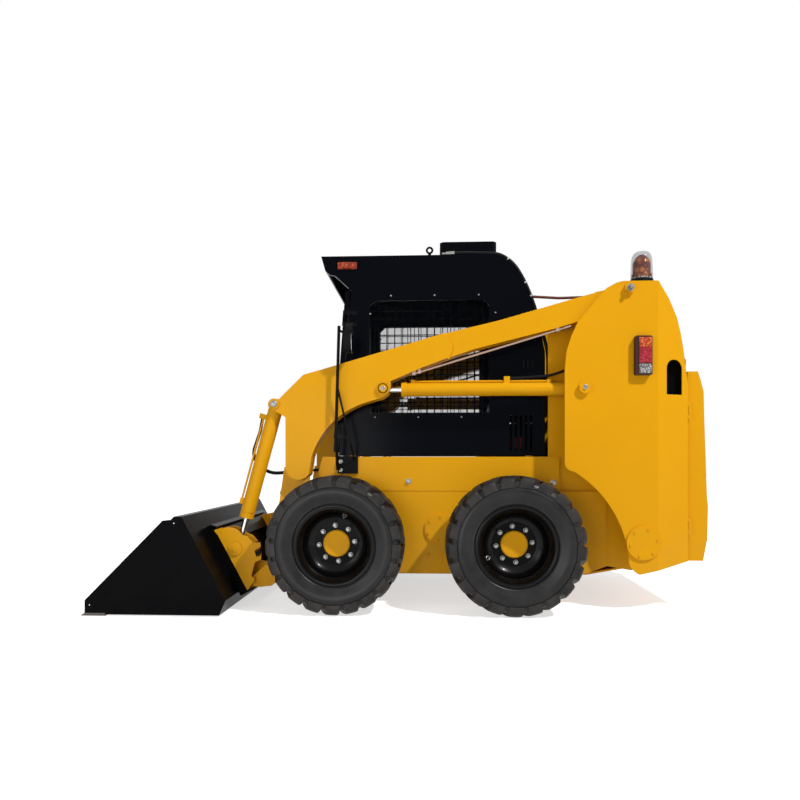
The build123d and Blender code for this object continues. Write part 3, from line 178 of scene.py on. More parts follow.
# name, place, aimed at, width and height, watts
for name, spot, target, size, watts in (
    ("key", (-5.6, 5.0, 8.2), (0.0, 0.3, 0.8), 0.4, 880),
    ("overhead", (0.2, 0.6, 6.0), (0.0, 0.0, 0.5), 4.0, 30),
    ("front_fill", (3.6, 4.2, 1.9), (0.9, 0.0, 0.8), 2.0, 42),
    ("side_fill", (1.3, 5.2, 0.9), (0.7, 0.0, 0.5), 1.6, 44),
):
    lamp_data = bpy.data.lights.new(name, "AREA")
    lamp_data.size = size
    lamp_data.energy = watts
    lamp = bpy.data.objects.new(name, lamp_data)
    lamp.location = spot
    aim = np.array(target) - np.array(spot)
    lamp.rotation_euler = (
        math.atan2(math.hypot(aim[0], aim[1]), -aim[2]),
        0,
        math.atan2(aim[1], aim[0]) - math.pi / 2,
    )
    bpy.context.scene.collection.objects.link(lamp)
bpy.context.scene.view_settings.view_transform = "Standard"

# ---------------------------------------------------------------- painted plate: body and arms
# Folded and welded steel plate in glossy machine yellow: frame, chain cases, rails, towers, rear
# door, arms, cylinders' barrels, carrier and hub caps. Sprayed paint has a faint ripple, thins to
# a lighter line at the plates' edges and holds a little dust low down.


def pattern(tree, kind, values, stretch=None):
    """A texture on Object coordinates, scaled axis by axis where stretch is given."""
    texture = add_node(tree, "Tex" + kind, values)
    place = add_node(tree, "TexCoord").outputs["Object"]
    if stretch:
        mapping = add_node(tree, "Mapping", {"Scale": stretch})
        wire(tree, (place, mapping.inputs["Vector"]))
        place = mapping.outputs[0]
    wire(tree, (place, texture.inputs["Vector"]))
    return texture


def ranged(tree, value, low, high):
    """A value from 0 to 1 spread between low and high."""
    spread = add_node(tree, "MapRange", {"To Min": low, "To Max": high})
    wire(tree, (value, spread.inputs["Value"]))
    return spread.outputs[0]


def toned(tree, value, colour, low, high):
    """A colour whose brightness goes from low to high as a value goes from 0 to 1."""
    shift = add_node(tree, "HueSaturation", {"Color": colour})
    wire(tree, (ranged(tree, value, low, high), shift.inputs["Value"]))
    return shift.outputs["Color"]


def to_shader(tree, shade, colour, roughness, height, strength, depth):
    """Give the shader its colour, its roughness and, from a height, its normal."""
    bump = add_node(tree, "Bump", {"Strength": strength, "Distance": depth})
    wire(
        tree,
        (colour, shade.inputs["Base Color"]),
        (roughness, shade.inputs["Roughness"]),
        (height, bump.inputs["Height"]),
        (bump.outputs[0], shade.inputs["Normal"]),
    )


def mask_group(name, **inputs):
    """A node group that gives a mask from float inputs, with its input and output nodes."""
    group = bpy.data.node_groups.new(name, "ShaderNodeTree")
    for socket_name, value in inputs.items():
        socket = group.interface.new_socket(name=socket_name, in_out="INPUT", socket_type="NodeSocketFloat")
        socket.default_value = value
    group.interface.new_socket(name="Mask", in_out="OUTPUT", socket_type="NodeSocketFloat")
    return group, group.nodes.new("NodeGroupInput"), group.nodes.new("NodeGroupOutput")


def end_mask(group, start, end, one, other):
    """End a group on one mask times another times its Amount."""
    product = add_node(group, "Math", operation="MULTIPLY")
    scaled = add_node(group, "Math", operation="MULTIPLY")
    wire(
        group,
        (one, product.inputs[0]),
        (other, product.inputs[1]),
        (product.outputs[0], scaled.inputs[0]),
        (start.outputs["Amount"], scaled.inputs[1]),
        (scaled.outputs[0], end.inputs["Mask"]),
    )


def edge_wear_group():
    """Mask of the edges, from how far a bevelled normal turns from the true one, broken by noise."""
    group, start, end = mask_group("edge_wear", Width=0.002, Amount=0.5)
    bevel = add_node(group, "Bevel", samples=4)
    true_normal = add_node(group, "NewGeometry")
    dot = add_node(group, "VectorMath", operation="DOT_PRODUCT")
    ramp = add_node(group, "MapRange", {"From Min": 0.995, "From Max": 0.86})
    noise = pattern(group, "Noise", {"Scale": 55, "Detail": 5})
    breaks = add_node(group, "MapRange", {"From Min": 0.42, "From Max": 0.62})
    wire(
        group,
        (start.outputs["Width"], bevel.inputs["Radius"]),
        (bevel.outputs[0], dot.inputs[0]),
        (true_normal.outputs["True Normal"], dot.inputs[1]),
        (dot.outputs["Value"], ramp.inputs["Value"]),
        (noise.outputs["Fac"], breaks.inputs["Value"]),
    )
    end_mask(group, start, end, ramp.outputs[0], breaks.outputs[0])
    return group


def ground_dust_group():
    """Mask of dust: strongest at the ground, fading with height, patchy by noise."""
    group, start, end = mask_group("ground_dust", Height=0.5, Amount=0.3)
    place = add_node(group, "TexCoord")
    split = add_node(group, "SeparateXYZ")
    fade = add_node(group, "MapRange", {"To Min": 1, "To Max": 0.08})
    noise = pattern(group, "Noise", {"Scale": 7, "Detail": 9, "Roughness": 0.62})
    patches = add_node(group, "MapRange", {"From Min": 0.38, "From Max": 0.72})
    wire(
        group,
        (place.outputs["Object"], split.inputs[0]),
        (split.outputs["Z"], fade.inputs["Value"]),
        (start.outputs["Height"], fade.inputs["From Max"]),
        (noise.outputs["Fac"], patches.inputs["Value"]),
    )
    end_mask(group, start, end, fade.outputs[0], patches.outputs[0])
    return group


edge_wear = edge_wear_group()
ground_dust = ground_dust_group()
dust_colour = (0.20, 0.15, 0.10, 1)
dust_roughness = 0.85


def sprayed_paint(
    name, colour, edge_colour, roughness, specular, coat, ripple=0.0004, dust=0.25, wear=0.5, variation=0.06
):
    """Paint on plate: a broad noise shades it, a fine ripple bends its gloss, edges wear, dust settles."""
    material, tree, shade = new_material(
        name, {"Specular IOR Level": specular, "Coat Weight": coat, "Coat Roughness": 0.08}
    )
    broad = pattern(tree, "Noise", {"Scale": 2.2, "Detail": 4}).outputs["Fac"]
    peel = pattern(tree, "Noise", {"Scale": 240, "Detail": 2}).outputs["Fac"]
    edges = add_node(tree, "Group", {"Amount": wear}, node_tree=edge_wear)
    settled = add_node(tree, "Group", {"Amount": dust}, node_tree=ground_dust).outputs["Mask"]
    worn = add_node(tree, "Mix", {"B": edge_colour}, data_type="RGBA")
    dusty = add_node(tree, "Mix", {"B": dust_colour}, data_type="RGBA")
    wire(
        tree,
        (toned(tree, broad, colour, 1 - variation, 1 + variation), worn.inputs["A"]),
        (edges.outputs["Mask"], worn.inputs["Factor"]),
        (worn.outputs["Result"], dusty.inputs["A"]),
        (settled, dusty.inputs["Factor"]),
    )
    dull = ranged(tree, settled, roughness, dust_roughness)
    to_shader(tree, shade, dusty.outputs["Result"], dull, peel, 0.35, ripple)
    return material


def finish_with(material, *names):
    """Give CAD nodes their material in every slot."""
    for name in names:
        for place in nodes[name].material_slots:
            place.material = material


machine_yellow = sprayed_paint(
    "machine_yellow", (0.72, 0.335, 0.004, 1), (0.76, 0.40, 0.03, 1), 0.34, 0.06, 0.02, dust=0.25, wear=0.35
)
finish_with(
    machine_yellow,
    "main_frame",
    "chain_cases",
    "side_rails",
    "towers",
    "pivot_pins",
    "rear_door",
    "lift_arms",
    "arm_cross_tube",
    "lift_barrels",
    "tilt_barrels",
    "carrier_levers",
    *(f"hub_{end}_{side}" for end in ("front", "rear") for side in ("left", "right")),
)

# ---------------------------------------------------------------- bolts and covers of the frame
# Zinc-plated flanged bolts hold the rails to the chain cases, small painted screws close the round
# covers of the cases and the towers, and a plug drains each case.


def bright_steel(name, colour, roughness, scratch_scale, scratch):
    """Bare metal: stretched noise makes fine scratches that vary roughness and bend the normal."""
    material, tree, shade = new_material(name, {"Metallic": 1})
    scratches = {"Scale": scratch_scale, "Detail": 6}
    noise = pattern(tree, "Noise", scratches, stretch=(1, 0.06, 1)).outputs["Fac"]
    rough = ranged(tree, noise, roughness * 0.7, roughness * 1.5)
    to_shader(tree, shade, toned(tree, noise, colour, 0.80, 1.12), rough, noise, scratch, 0.0005)
    return material


def mesh_piece(name, surface, material, body, bend=35):
    """An object at the origin from (points, faces): doubles merged, faces out, riding on its body."""
    points, faces = surface
    mesh = bpy.data.meshes.new(name)
    mesh.from_pydata(np.asarray(points, float).tolist(), [], [tuple(map(int, f)) for f in faces])
    work = bmesh.new()
    work.from_mesh(mesh)
    bmesh.ops.remove_doubles(work, verts=work.verts, dist=1e-6)
    bmesh.ops.recalc_face_normals(work, faces=work.faces)
    work.to_mesh(mesh)
    work.free()
    mesh.polygons.foreach_set("use_smooth", [True] * len(mesh.polygons))
    mesh.set_sharp_from_angle(angle=math.radians(bend))
    piece = bpy.data.objects.new(name, mesh)
    bpy.context.scene.collection.objects.link(piece)
    mesh.materials.append(material)
    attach(piece, body)
    return piece


def grid_faces(rows, columns, closed_rows=False, closed_columns=False):
    """Quads of a grid of rows by columns, joined round where it is closed."""
    i = np.arange(rows if closed_rows else rows - 1)
    j = np.arange(columns if closed_columns else columns - 1)
    i, j = (a.ravel() for a in np.meshgrid(i, j, indexing="ij"))
    i2, j2 = (i + 1) % rows, (j + 1) % columns
    return np.stack([i * columns + j, i2 * columns + j, i2 * columns + j2, i * columns + j2], 1)


def joined(*surfaces):
    """Several (points, faces) as one."""
    points, faces, count = [], [], 0
    for more_points, more_faces in surfaces:
        points.append(more_points)
        faces.append(np.asarray(more_faces) + count)
        count += len(more_points)
    return np.concatenate(points), np.concatenate(faces)


def square_to(axis):
    """The axis made one long, and two directions square to it and to each other."""
    axis = np.asarray(axis, float) / np.linalg.norm(axis)
    side = np.cross(axis, (0, 0, 1) if abs(axis[2]) < 0.9 else (1, 0, 0))
    side /= np.linalg.norm(side)
    return axis, side, np.cross(axis, side)


def lathe(profile, centre, axis, steps, closed=False, turn=0.0):
    """Turn (distance along the axis, radius) points about an axis through centre, in equal steps."""
    axis, side, up = square_to(axis)
    angle = np.linspace(0, 2 * np.pi, steps, endpoint=False) + turn
    along, radius = np.asarray(profile, float).T
    ring = np.cos(angle)[:, None, None] * side + np.sin(angle)[:, None, None] * up
    points = np.asarray(centre) + along[None, :, None] * axis + radius[None, :, None] * ring
    return points.reshape(-1, 3), grid_faces(steps, len(along), True, closed)


def bolt(centre, axis, across, height, flange=0.0, turn=0.0):
    """A hexagon head with a domed crown, six corners carried up its profile, on a round flange."""
    lift = 0.2 * height if flange else 0
    head = [(0, 0), (0, across), (lift + height * 0.8, across)]
    head += [(lift + height, across * 0.8), (lift + height * 1.05, 0)]
    surfaces = [lathe(head, centre, axis, 6, turn=turn)]
    if flange:
        disc = [(0, 0), (0, flange), (lift * 0.7, flange), (lift, flange * 0.94), (lift, 0)]
        surfaces.append(lathe(disc, centre, axis, 24))
    return joined(*surfaces)


def bolt_ring(centre, axis, radius, count, across, height, first=0.0, flange=0.0):
    """Bolts at equal angles on a circle about an axis."""
    axis, side, up = square_to(axis)
    bolts = []
    for angle in first + 2 * np.pi * np.arange(count) / count:
        place = centre + radius * (math.cos(angle) * side + math.sin(angle) * up)
        bolts.append(bolt(place, axis, across, height, flange, angle))
    return joined(*bolts)


def on_side(place, out, y):
    """The point at an (x, z) place, a distance y out from the middle plane."""
    return at(place[0], out * y, place[1])


zinc_steel = bright_steel("zinc_steel", (0.26, 0.26, 0.25, 1), 0.36, 180, 0.25)
rod_chrome = bright_steel("rod_chrome", (0.60, 0.60, 0.61, 1), 0.16, 90, 0.05)
finish_with(rod_chrome, "lift_rods", "tilt_rods")
frame_half, tower_outer, cover_depth = 0.480, 0.625, 0.012
rail_bolts = ((-0.401, 0.733), (-1.252, 0.727))
case_cover, case_plug, tower_cover = (-0.583, 0.4525), (-0.515, 0.294), (-1.729, 0.3925)
sides = (("left", 1), ("right", -1))
for side, out in sides:
    axis = (0, out, 0)
    mesh_piece(
        f"frame_bolts_{side}",
        joined(*(bolt(on_side(place, out, frame_half), axis, 0.012, 0.011, 0.017) for place in rail_bolts)),
        zinc_steel,
        "chassis",
    )
    tower_cover_at = on_side(tower_cover, out, tower_outer + cover_depth)
    mesh_piece(
        f"cover_screws_{side}",
        joined(
            bolt_ring(on_side(case_cover, out, frame_half + cover_depth), axis, 0.070, 6, 0.0065, 0.006, 0.4),
            bolt_ring(tower_cover_at, axis, 0.077, 6, 0.0065, 0.006, 0.2),
            bolt(on_side(case_plug, out, frame_half), axis, 0.010, 0.010, 0.015),
        ),
        machine_yellow,
        "chassis",
    )

# ---------------------------------------------------------------- towers
# The angled rear face of each tower has a round-topped opening with a plain dark screen behind
# it, painted shade for the tower's dark inside.
# The pins' collars are painted with the tower; a zinc bolt on a flange locks each pin.


def slab(outline, depth, bevel, origin, across, up):
    """A plate from an outline in (across, up) about its middle: rings at the back, at the bevel's
    foot and, drawn in by the bevel, at the face, each closed towards a middle point."""
    outline = np.asarray(outline, float)
    across, up = np.asarray(across, float), np.asarray(up, float)
    middle = outline.mean(0)
    reach = np.abs(outline - middle).max()
    height = np.array((0, 0, depth - bevel, depth, depth))
    scale = np.array((0, 1, 1, 1 - bevel / reach, 0))
    flat = middle + scale[:, None, None] * (outline - middle)
    points = np.asarray(origin) + flat @ np.stack([across, up]) + height[:, None, None] * np.cross(across, up)
    return points.reshape(-1, 3), grid_faces(5, len(outline), False, True)


def rounded(width, height, radius, steps=5):
    """Outline of a rectangle about its middle with quarter-circle corners."""
    angle = np.linspace(0, np.pi / 2, steps)
    corner = radius * np.stack([np.cos(angle), np.sin(angle)], 1)
    inset = np.array((width / 2 - radius, height / 2 - radius))
    turns = [np.array(((c, s), (-s, c))) for c, s in ((1, 0), (0, 1), (-1, 0), (0, -1))]
    signs = ((1, 1), (-1, 1), (-1, -1), (1, -1))
    return np.concatenate([corner @ turn + inset * sign for turn, sign in zip(turns, signs)])


def upright(width, height, radius, depth, bevel, origin, across, steps=5):
    """A standing plate with rounded corners, facing square to its width."""
    return slab(rounded(width, height, radius, steps), depth, bevel, origin, across, (0, 0, 1))


def moulded_plastic(name, colour, roughness, grain=300, relief=0.0004, specular=0.3):
    """Moulded plastic: slight cloud in its tone and a fine leather grain from round cells."""
    material, tree, shade = new_material(name, {"Specular IOR Level": specular})
    cloud = pattern(tree, "Noise", {"Scale": 9, "Detail": 5}).outputs["Fac"]
    cells = pattern(tree, "Voronoi", {"Scale": grain}).outputs["Distance"]
    rough = ranged(tree, cloud, roughness * 0.85, roughness * 1.2)
    to_shader(tree, shade, toned(tree, cloud, colour, 0.85, 1.15), rough, cells, 0.3, relief)
    return material


black_plastic = moulded_plastic("black_plastic", (0.005, 0.005, 0.005, 1), 0.5, specular=0.06)
# Near-black matte plate in the towers' openings: painted shade of the towers' insides.
opening_shade_black = moulded_plastic("opening_shade_black", (0.002, 0.002, 0.002, 1), 0.6, specular=0.02)
arm_pin, lift_base_pin = (-1.652, 1.8275), (-1.403, 1.2705)
collar_face = tower_outer + 0.022
for side, out in sides:
    axis = (0, out, 0)
    mesh_piece(
        f"tower_opening_shade_{side}",
        upright(0.150, 0.250, 0.02, 0.004, 0.001, at(-1.925, out * 0.522, 1.325), (-out, 0, 0)),
        opening_shade_black,
        "chassis",
    )
    mesh_piece(
        f"pin_bolts_{side}",
        joined(
            bolt(on_side(arm_pin, out, collar_face), axis, 0.013, 0.022, 0.021),
            bolt(on_side(lift_base_pin, out, collar_face), axis, 0.009, 0.009, 0.014),
        ),
        zinc_steel,
        "chassis",
    )

# ---------------------------------------------------------------- engine, radiator and rear door
# Cast block and the radiator stand under the slotted hood. The rear door is a pressed shell with
# slots, backed by a plain black screen, and closes with a black latch on its face.
engine_iron = moulded_plastic("engine_iron", (0.045, 0.046, 0.048, 1), 0.6, 140, 0.001)
finish_with(engine_iron, "engine_block")
finish_with(black_plastic, "radiator")
door_face = -2.130
mesh_piece(
    "door_screen",
    upright(0.740, 0.560, 0.02, 0.003, 0.001, at(door_face + 0.066, 0, 0.850), (0, -1, 0)),
    black_plastic,
    "engine_door",
)
mesh_piece(
    "door_latch",
    joined(
        upright(0.060, 0.110, 0.012, 0.006, 0.002, at(door_face + 0.004, -0.440, 0.690), (0, -1, 0)),
        upright(0.024, 0.070, 0.010, 0.012, 0.003, at(door_face - 0.001, -0.440, 0.690), (0, -1, 0)),
    ),
    black_plastic,
    "engine_door",
)

# ---------------------------------------------------------------- cab
# Folded and welded steel sheet in deep gloss black: sides with riveted wire guards, roof, rear
# panel, door and the roof's climate unit. The black is tinted slightly blue, a painted reflection
# of the sky. Rivets are bright, and black louvres stand on the sides behind the windows, over a
# low vent with a red cooler's core inside.
# Blue-tinted black: the blue is a painted reflection of the sky.
cab_black_painted_sky_tint = sprayed_paint(
    "cab_black_painted_sky_tint", (0.0016, 0.0021, 0.0042, 1), (0.012, 0.012, 0.014, 1), 0.16, 0.03, 0.0, dust=0.01, wear=0.3
)
finish_with(
    cab_black_painted_sky_tint,
    "cab_sides",
    "cab_roof",
    "cab_rear_panel",
    "cab_front_frame",
    "front_door",
    "window_guards",
    "climate_unit",
    "lap_bar",
    "rear_hood",
)
cab_half, roof_z = 0.430, 2.0895
rivet_profile = [(0, 0.0), (0, 0.0055), (0.0016, 0.0048), (0.0028, 0.0030), (0.0032, 0.0)]
rivet_spots = (
    (-0.293, 1.848), (-0.555, 1.848), (-0.819, 1.848), (-0.168, 1.740), (-0.919, 1.740),
    (-0.196, 1.117), (-0.457, 1.117), (-0.717, 1.117),
)
for side, out in sides:
    axis = (0, out, 0)
    mesh_piece(
        f"guard_rivets_{side}",
        joined(*(lathe(rivet_profile, at(x, out * cab_half, z), axis, 12) for x, z in rivet_spots)),
        zinc_steel,
        "chassis",
    )
    mesh_piece(
        f"cab_louvres_{side}",
        joined(
            *(
                upright(0.009, 0.052, 0.004, 0.005, 0.002, at(x, out * cab_half, 1.428), (-out, 0, 0), 3)
                for x in (-1.085, -1.111, -1.137)
            )
        ),
        black_plastic,
        "chassis",
    )
for side, out in sides:
    mesh_piece(
        f"vent_backing_{side}",
        upright(0.200, 0.230, 0.01, 0.003, 0.001, at(-1.075, out * 0.352, 0.965), (-out, 0, 0)),
        black_plastic,
        "chassis",
    )
cooler_red = moulded_plastic("cooler_red", (0.42, 0.06, 0.02, 1), 0.5, 200, 0.0006)
for side, out in sides:
    mesh_piece(
        f"cooler_core_{side}",
        upright(0.075, 0.070, 0.006, 0.012, 0.002, at(-1.055, out * 0.368, 0.962), (-out, 0, 0)),
        cooler_red,
        "chassis",
    )


def smooth_path(points, steps=8):
    """Catmull-Rom curve: a cubic through each pair of points with slopes from their neighbours."""
    points = np.asarray(points, float)
    ends = np.concatenate([[2 * points[0] - points[1]], points, [2 * points[-1] - points[-2]]])
    t = (np.arange(steps) / steps)[None, :, None]
    a, b, c, d = (ends[k : len(ends) - 3 + k, None, :] for k in range(4))
    curve = 0.5 * (2 * b + (c - a) * t + (2 * a - 5 * b + 4 * c - d) * t**2 + (3 * b - 3 * c + d - a) * t**3)
    return np.concatenate([curve.reshape(-1, 3), points[-1:]])


def round_bar(path, radius, steps=14):
    """A circle carried along a path, square to it, with its ends closed to their middle points."""
    path = np.asarray(path, float)
    radius = np.broadcast_to(np.asarray(radius, float), len(path))
    tangent = np.gradient(path, axis=0)
    tangent /= np.linalg.norm(tangent, axis=1)[:, None]
    spread = np.abs(tangent).mean(0)
    side = np.cross(tangent, np.eye(3)[spread.argmin()])
    side /= np.linalg.norm(side, axis=1)[:, None]
    up = np.cross(tangent, side)
    path = np.concatenate([path[:1], path, path[-1:]])
    side, up = (np.concatenate([v[:1], v, v[-1:]]) for v in (side, up))
    radius = np.concatenate([[0], radius, [0]])
    turn = 2 * np.pi * np.arange(steps) / steps
    ring = np.cos(turn)[None, :, None] * side[:, None] + np.sin(turn)[None, :, None] * up[:, None]
    points = path[:, None] + radius[:, None, None] * ring
    return points.reshape(-1, 3), grid_faces(len(path), steps, False, True)


# Lifting eyes: a ring on a stepped neck, one each side of the roof.
for side, out in sides:
    turn = np.linspace(0, 2 * np.pi, 33)
    eye_centre = at(-0.525, out * 0.345, 2.143)
    ring = eye_centre + np.stack([0.017 * np.cos(turn), 0 * turn, 0.017 * np.sin(turn)], 1)
    neck = [(0, 0.0), (0, 0.020), (0.006, 0.020), (0.006, 0.010), (0.034, 0.009), (0.040, 0.0)]
    eye = mesh_piece(
        f"lifting_eye_{side}",
        joined(round_bar(ring, 0.0065), lathe(neck, at(-0.525, out * 0.345, roof_z), (0, 0, 1), 18)),
        cab_black_painted_sky_tint,
        "chassis",
    )
    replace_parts(eye, "lifting_eyes")
finish_with(cab_black_painted_sky_tint, "lifting_eyes")

# Refrigerant hose from the climate unit, clipped along the roof's edge and down the rounded back.
hose_rubber = moulded_plastic("hose_rubber", (0.006, 0.006, 0.007, 1), 0.45, 420, 0.0003, specular=0.08)
roof_hose = smooth_path(
    [
        at(-0.640, 0.392, 2.106),
        at(-0.720, 0.396, 2.108),
        at(-0.830, 0.400, 2.104),
        at(-0.930, 0.402, 2.098),
        at(-0.992, 0.404, 2.068),
        at(-1.040, 0.404, 2.022),
        at(-1.078, 0.404, 1.962),
        at(-1.112, 0.404, 1.892),
        at(-1.140, 0.404, 1.820),
        at(-1.166, 0.404, 1.740),
        at(-1.206, 0.402, 1.610),
        at(-1.232, 0.400, 1.500),
        at(-1.236, 0.398, 1.372),
    ]
)
mesh_piece("roof_hose", round_bar(roof_hose, 0.011), hose_rubber, "chassis")
clip_places = (0.34, 0.55, 0.64)
clips = []
for share in clip_places:
    k = int(share * (len(roof_hose) - 1))
    clips.append(round_bar(roof_hose[k : k + 2], 0.0135))
ferrule = [at(x, 0.391, 2.106) for x in (-0.600, -0.622, -0.624)] + [at(-0.676, 0.395, 2.108)]
clips.append(round_bar(ferrule, [0.008, 0.008, 0.013, 0.013]))
mesh_piece("roof_hose_clips", joined(*clips), zinc_steel, "chassis")

# ---------------------------------------------------------------- seat and controls
# A vinyl seat on a steel pan: a deep base and a tall back, each a foam cushion that swells under
# its cover. The controls and the seat's box are black with a leather grain.
seat_vinyl = moulded_plastic("seat_vinyl", (0.010, 0.010, 0.011, 1), 0.42, 520, 0.0005, specular=0.35)
finish_with(black_plastic, "controls", "seat_box")
finish_with(seat_vinyl, "seat")


def swollen(piece, most):
    """Blow the cushion up: remeshed, pressed from inside, each point moved no further than most."""
    work = piece.copy()
    work.data = piece.data.copy()
    bpy.context.scene.collection.objects.link(work)
    for other in bpy.context.view_layer.objects:
        other.select_set(False)
    bpy.context.view_layer.objects.active = work
    remesh = work.modifiers.new("even", "REMESH")
    remesh.mode = "VOXEL"
    remesh.voxel_size = 0.010
    bpy.ops.object.modifier_apply(modifier=remesh.name)
    start = np.empty(len(work.data.vertices) * 3)
    work.data.vertices.foreach_get("co", start)
    cloth = work.modifiers.new("press", "CLOTH")
    cloth.settings.use_pressure = True
    cloth.settings.uniform_pressure_force = 4
    cloth.settings.effector_weights.gravity = 0
    for step in range(1, 21):
        bpy.context.scene.frame_set(step)
    settled = work.evaluated_get(bpy.context.evaluated_depsgraph_get()).to_mesh()
    end = np.empty(len(start))
    settled.vertices.foreach_get("co", end)
    bpy.context.scene.frame_set(1)
    work.modifiers.remove(cloth)
    start, end = start.reshape(-1, 3), end.reshape(-1, 3)
    moved = end - start
    length = np.linalg.norm(moved, axis=1)[:, None]
    capped = start + moved * np.minimum(1, most / np.maximum(length, 1e-9))
    work.data.vertices.foreach_set("co", capped.ravel())
    piece.data = work.data
    bpy.data.objects.remove(work)
    piece.data.polygons.foreach_set("use_smooth", [True] * len(piece.data.polygons))


def cushion_block(corners, half_width, nx=7):
    """A closed block: a four-cornered side outline carried from one side to the other."""
    corners = np.asarray(corners, float)
    rows = np.linspace(-half_width, half_width, nx)
    rows = np.concatenate([rows[:1], rows, rows[-1:]])
    shrink = np.ones(nx + 2)
    shrink[[0, -1]] = 0
    middle = corners.mean(0)
    flat = middle + shrink[:, None, None] * (corners - middle)
    spread = np.broadcast_to(rows[:, None], flat.shape[:2])
    points = np.stack([axle_x + flat[..., 0], spread, flat[..., 1]], -1)
    return points.reshape(-1, 3), grid_faces(nx + 2, len(corners), False, True)


seat_shapes = {
    "seat_base": (
        [(-0.800, 0.705), (-0.385, 0.712), (-0.372, 0.765), (-0.400, 0.784), (-0.800, 0.772)],
        0.205,
    ),
    "seat_back": (
        [(-0.830, 0.790), (-0.905, 0.775), (-0.990, 1.235), (-0.965, 1.258), (-0.930, 1.252)],
        0.200,
    ),
}
for name, (corners, half_width) in seat_shapes.items():
    cushion = mesh_piece(name, cushion_block(corners, half_width), seat_vinyl, "chassis")
    swollen(cushion, 0.010)
    rounder = cushion.modifiers.new("rounder", "SUBSURF")
    rounder.levels = rounder.render_levels = 1
    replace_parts(cushion, "seat")
mesh_piece(
    "seat_pan",
    slab(rounded(0.400, 0.420, 0.03), 0.012, 0.003, at(-0.590, 0, 0.690), (1, 0, 0), (0, 1, 0)),
    cab_black_painted_sky_tint,
    "chassis",
)

# ---------------------------------------------------------------- cab glass
# Thin dark-tinted panes, mostly see-through: side windows behind the wire guards, rear window and
# door.


def clear_glass(name, tint, alpha, gloss):
    """Thin pane: mostly see-through, with a plain gloss and a faint uneven film."""
    material, tree, shade = new_material(name, {"Alpha": alpha, "Specular IOR Level": gloss})
    film = pattern(tree, "Noise", {"Scale": 6, "Detail": 6}).outputs["Fac"]
    filmed = (tint[0] * 0.8, tint[1] * 0.8, tint[2] * 0.8, 1)
    tone = add_node(tree, "Mix", {"A": tint, "B": filmed}, data_type="RGBA")
    wire(
        tree,
        (film, tone.inputs["Factor"]),
        (tone.outputs["Result"], shade.inputs["Base Color"]),
        (ranged(tree, film, 0.02, 0.10), shade.inputs["Roughness"]),
    )
    return material


pane_glass = clear_glass("pane_glass", (0.004, 0.005, 0.007, 1), 0.16, 0.06)
finish_with(pane_glass, "cab_glass", "door_glass")

# ---------------------------------------------------------------- lamps and beacon
# Marker lamps by the roof's front corners, a stacked tail lamp on each tower, two work lamps over
# the door, and a beacon on the left tower with an amber core under a smoked dome.


def colour_ramp(tree, value, *stops):
    """The colour a value picks from a ramp through two (place, colour) stops."""
    ramp = add_node(tree, "ValToRGB")
    for element, (position, colour) in zip(ramp.color_ramp.elements, stops):
        element.position = position
        element.color = colour
    wire(tree, (value, ramp.inputs["Fac"]))
    return ramp.outputs["Color"]


def lens_plastic(name, deep, bright, scale):
    """Prismatic lens: round cells shade from pale middles, painted glints of its prisms, to its own deep
    colour at their edges, and bend its gloss.
    """
    # The pale cell middles are painted glints of the prisms; the deep colour is the lens's own.
    material, tree, shade = new_material(name, {"Specular IOR Level": 0.35, "Roughness": 0.12})
    cells = pattern(tree, "Voronoi", {"Scale": scale}).outputs["Distance"]
    bump = add_node(tree, "Bump", {"Strength": 0.6, "Distance": 0.002})
    wire(
        tree,
        (colour_ramp(tree, cells, (0.15, bright), (0.60, deep)), shade.inputs["Base Color"]),
        (cells, bump.inputs["Height"]),
        (bump.outputs[0], shade.inputs["Normal"]),
    )
    return material


lamp_orange = lens_plastic("lamp_orange", (0.42, 0.03, 0.006, 1), (0.85, 0.28, 0.05, 1), 90)
marker_orange = lens_plastic("marker_orange", (0.22, 0.02, 0.006, 1), (0.62, 0.10, 0.02, 1), 60)
lamp_red = lens_plastic("lamp_red", (0.26, 0.004, 0.014, 1), (0.65, 0.04, 0.07, 1), 110)
lamp_housing = moulded_plastic("lamp_housing", (0.035, 0.008, 0.006, 1), 0.28, 200, 0.0003)
lamp_clear = lens_plastic("lamp_clear", (0.10, 0.10, 0.10, 1), (0.62, 0.60, 0.58, 1), 100)
tail_x, tail_low, tail_high = -1.723, 1.334, 1.556
tail_tall, tail_middle = tail_high - tail_low, (tail_low + tail_high) / 2
for side, out in sides:
    across = (-out, 0, 0)
    face = out * 0.6255
    marker_at = at(-0.030, out * 0.4306, 2.0305)
    marker = mesh_piece(
        f"marker_lamp_{side}",
        joined(
            upright(0.072, 0.036, 0.006, 0.018, 0.006, marker_at, across),
            upright(0.116, 0.042, 0.006, 0.010, 0.003, marker_at, across),
        ),
        marker_orange,
        "chassis",
    )
    housing = mesh_piece(
        f"tail_housing_{side}",
        upright(0.096, tail_tall, 0.012, 0.032, 0.004, at(tail_x, face, tail_middle), across),
        lamp_housing,
        "chassis",
    )
    lenses = [
        ("top", lamp_orange, 0.055, tail_high - 0.038),
        ("middle", lamp_red, 0.086, tail_middle),
        ("bottom", lamp_clear, 0.052, tail_low + 0.036),
    ]
    for name, plastic, tall, height in lenses:
        lens = mesh_piece(
            f"tail_lens_{name}_{side}",
            upright(0.070, tall, 0.006, 0.008, 0.004, at(tail_x - 0.008, out * 0.6565, height), across),
            plastic,
            "chassis",
        )
        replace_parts(lens, "lamps")
    lamp_shell = mesh_piece(
        f"work_lamp_{side}",
        upright(0.092, 0.082, 0.014, 0.042, 0.006, at(0.012, out * 0.330, 2.024), (0, 1, 0)),
        black_plastic,
        "chassis",
    )
    lamp_lens = mesh_piece(
        f"work_lens_{side}",
        upright(0.076, 0.066, 0.010, 0.005, 0.002, at(0.0535, out * 0.330, 2.024), (0, 1, 0)),
        lamp_clear,
        "chassis",
    )
    for piece in (marker, housing, lamp_shell, lamp_lens):
        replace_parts(piece, "lamps")
finish_with(lamp_red, "lamps")

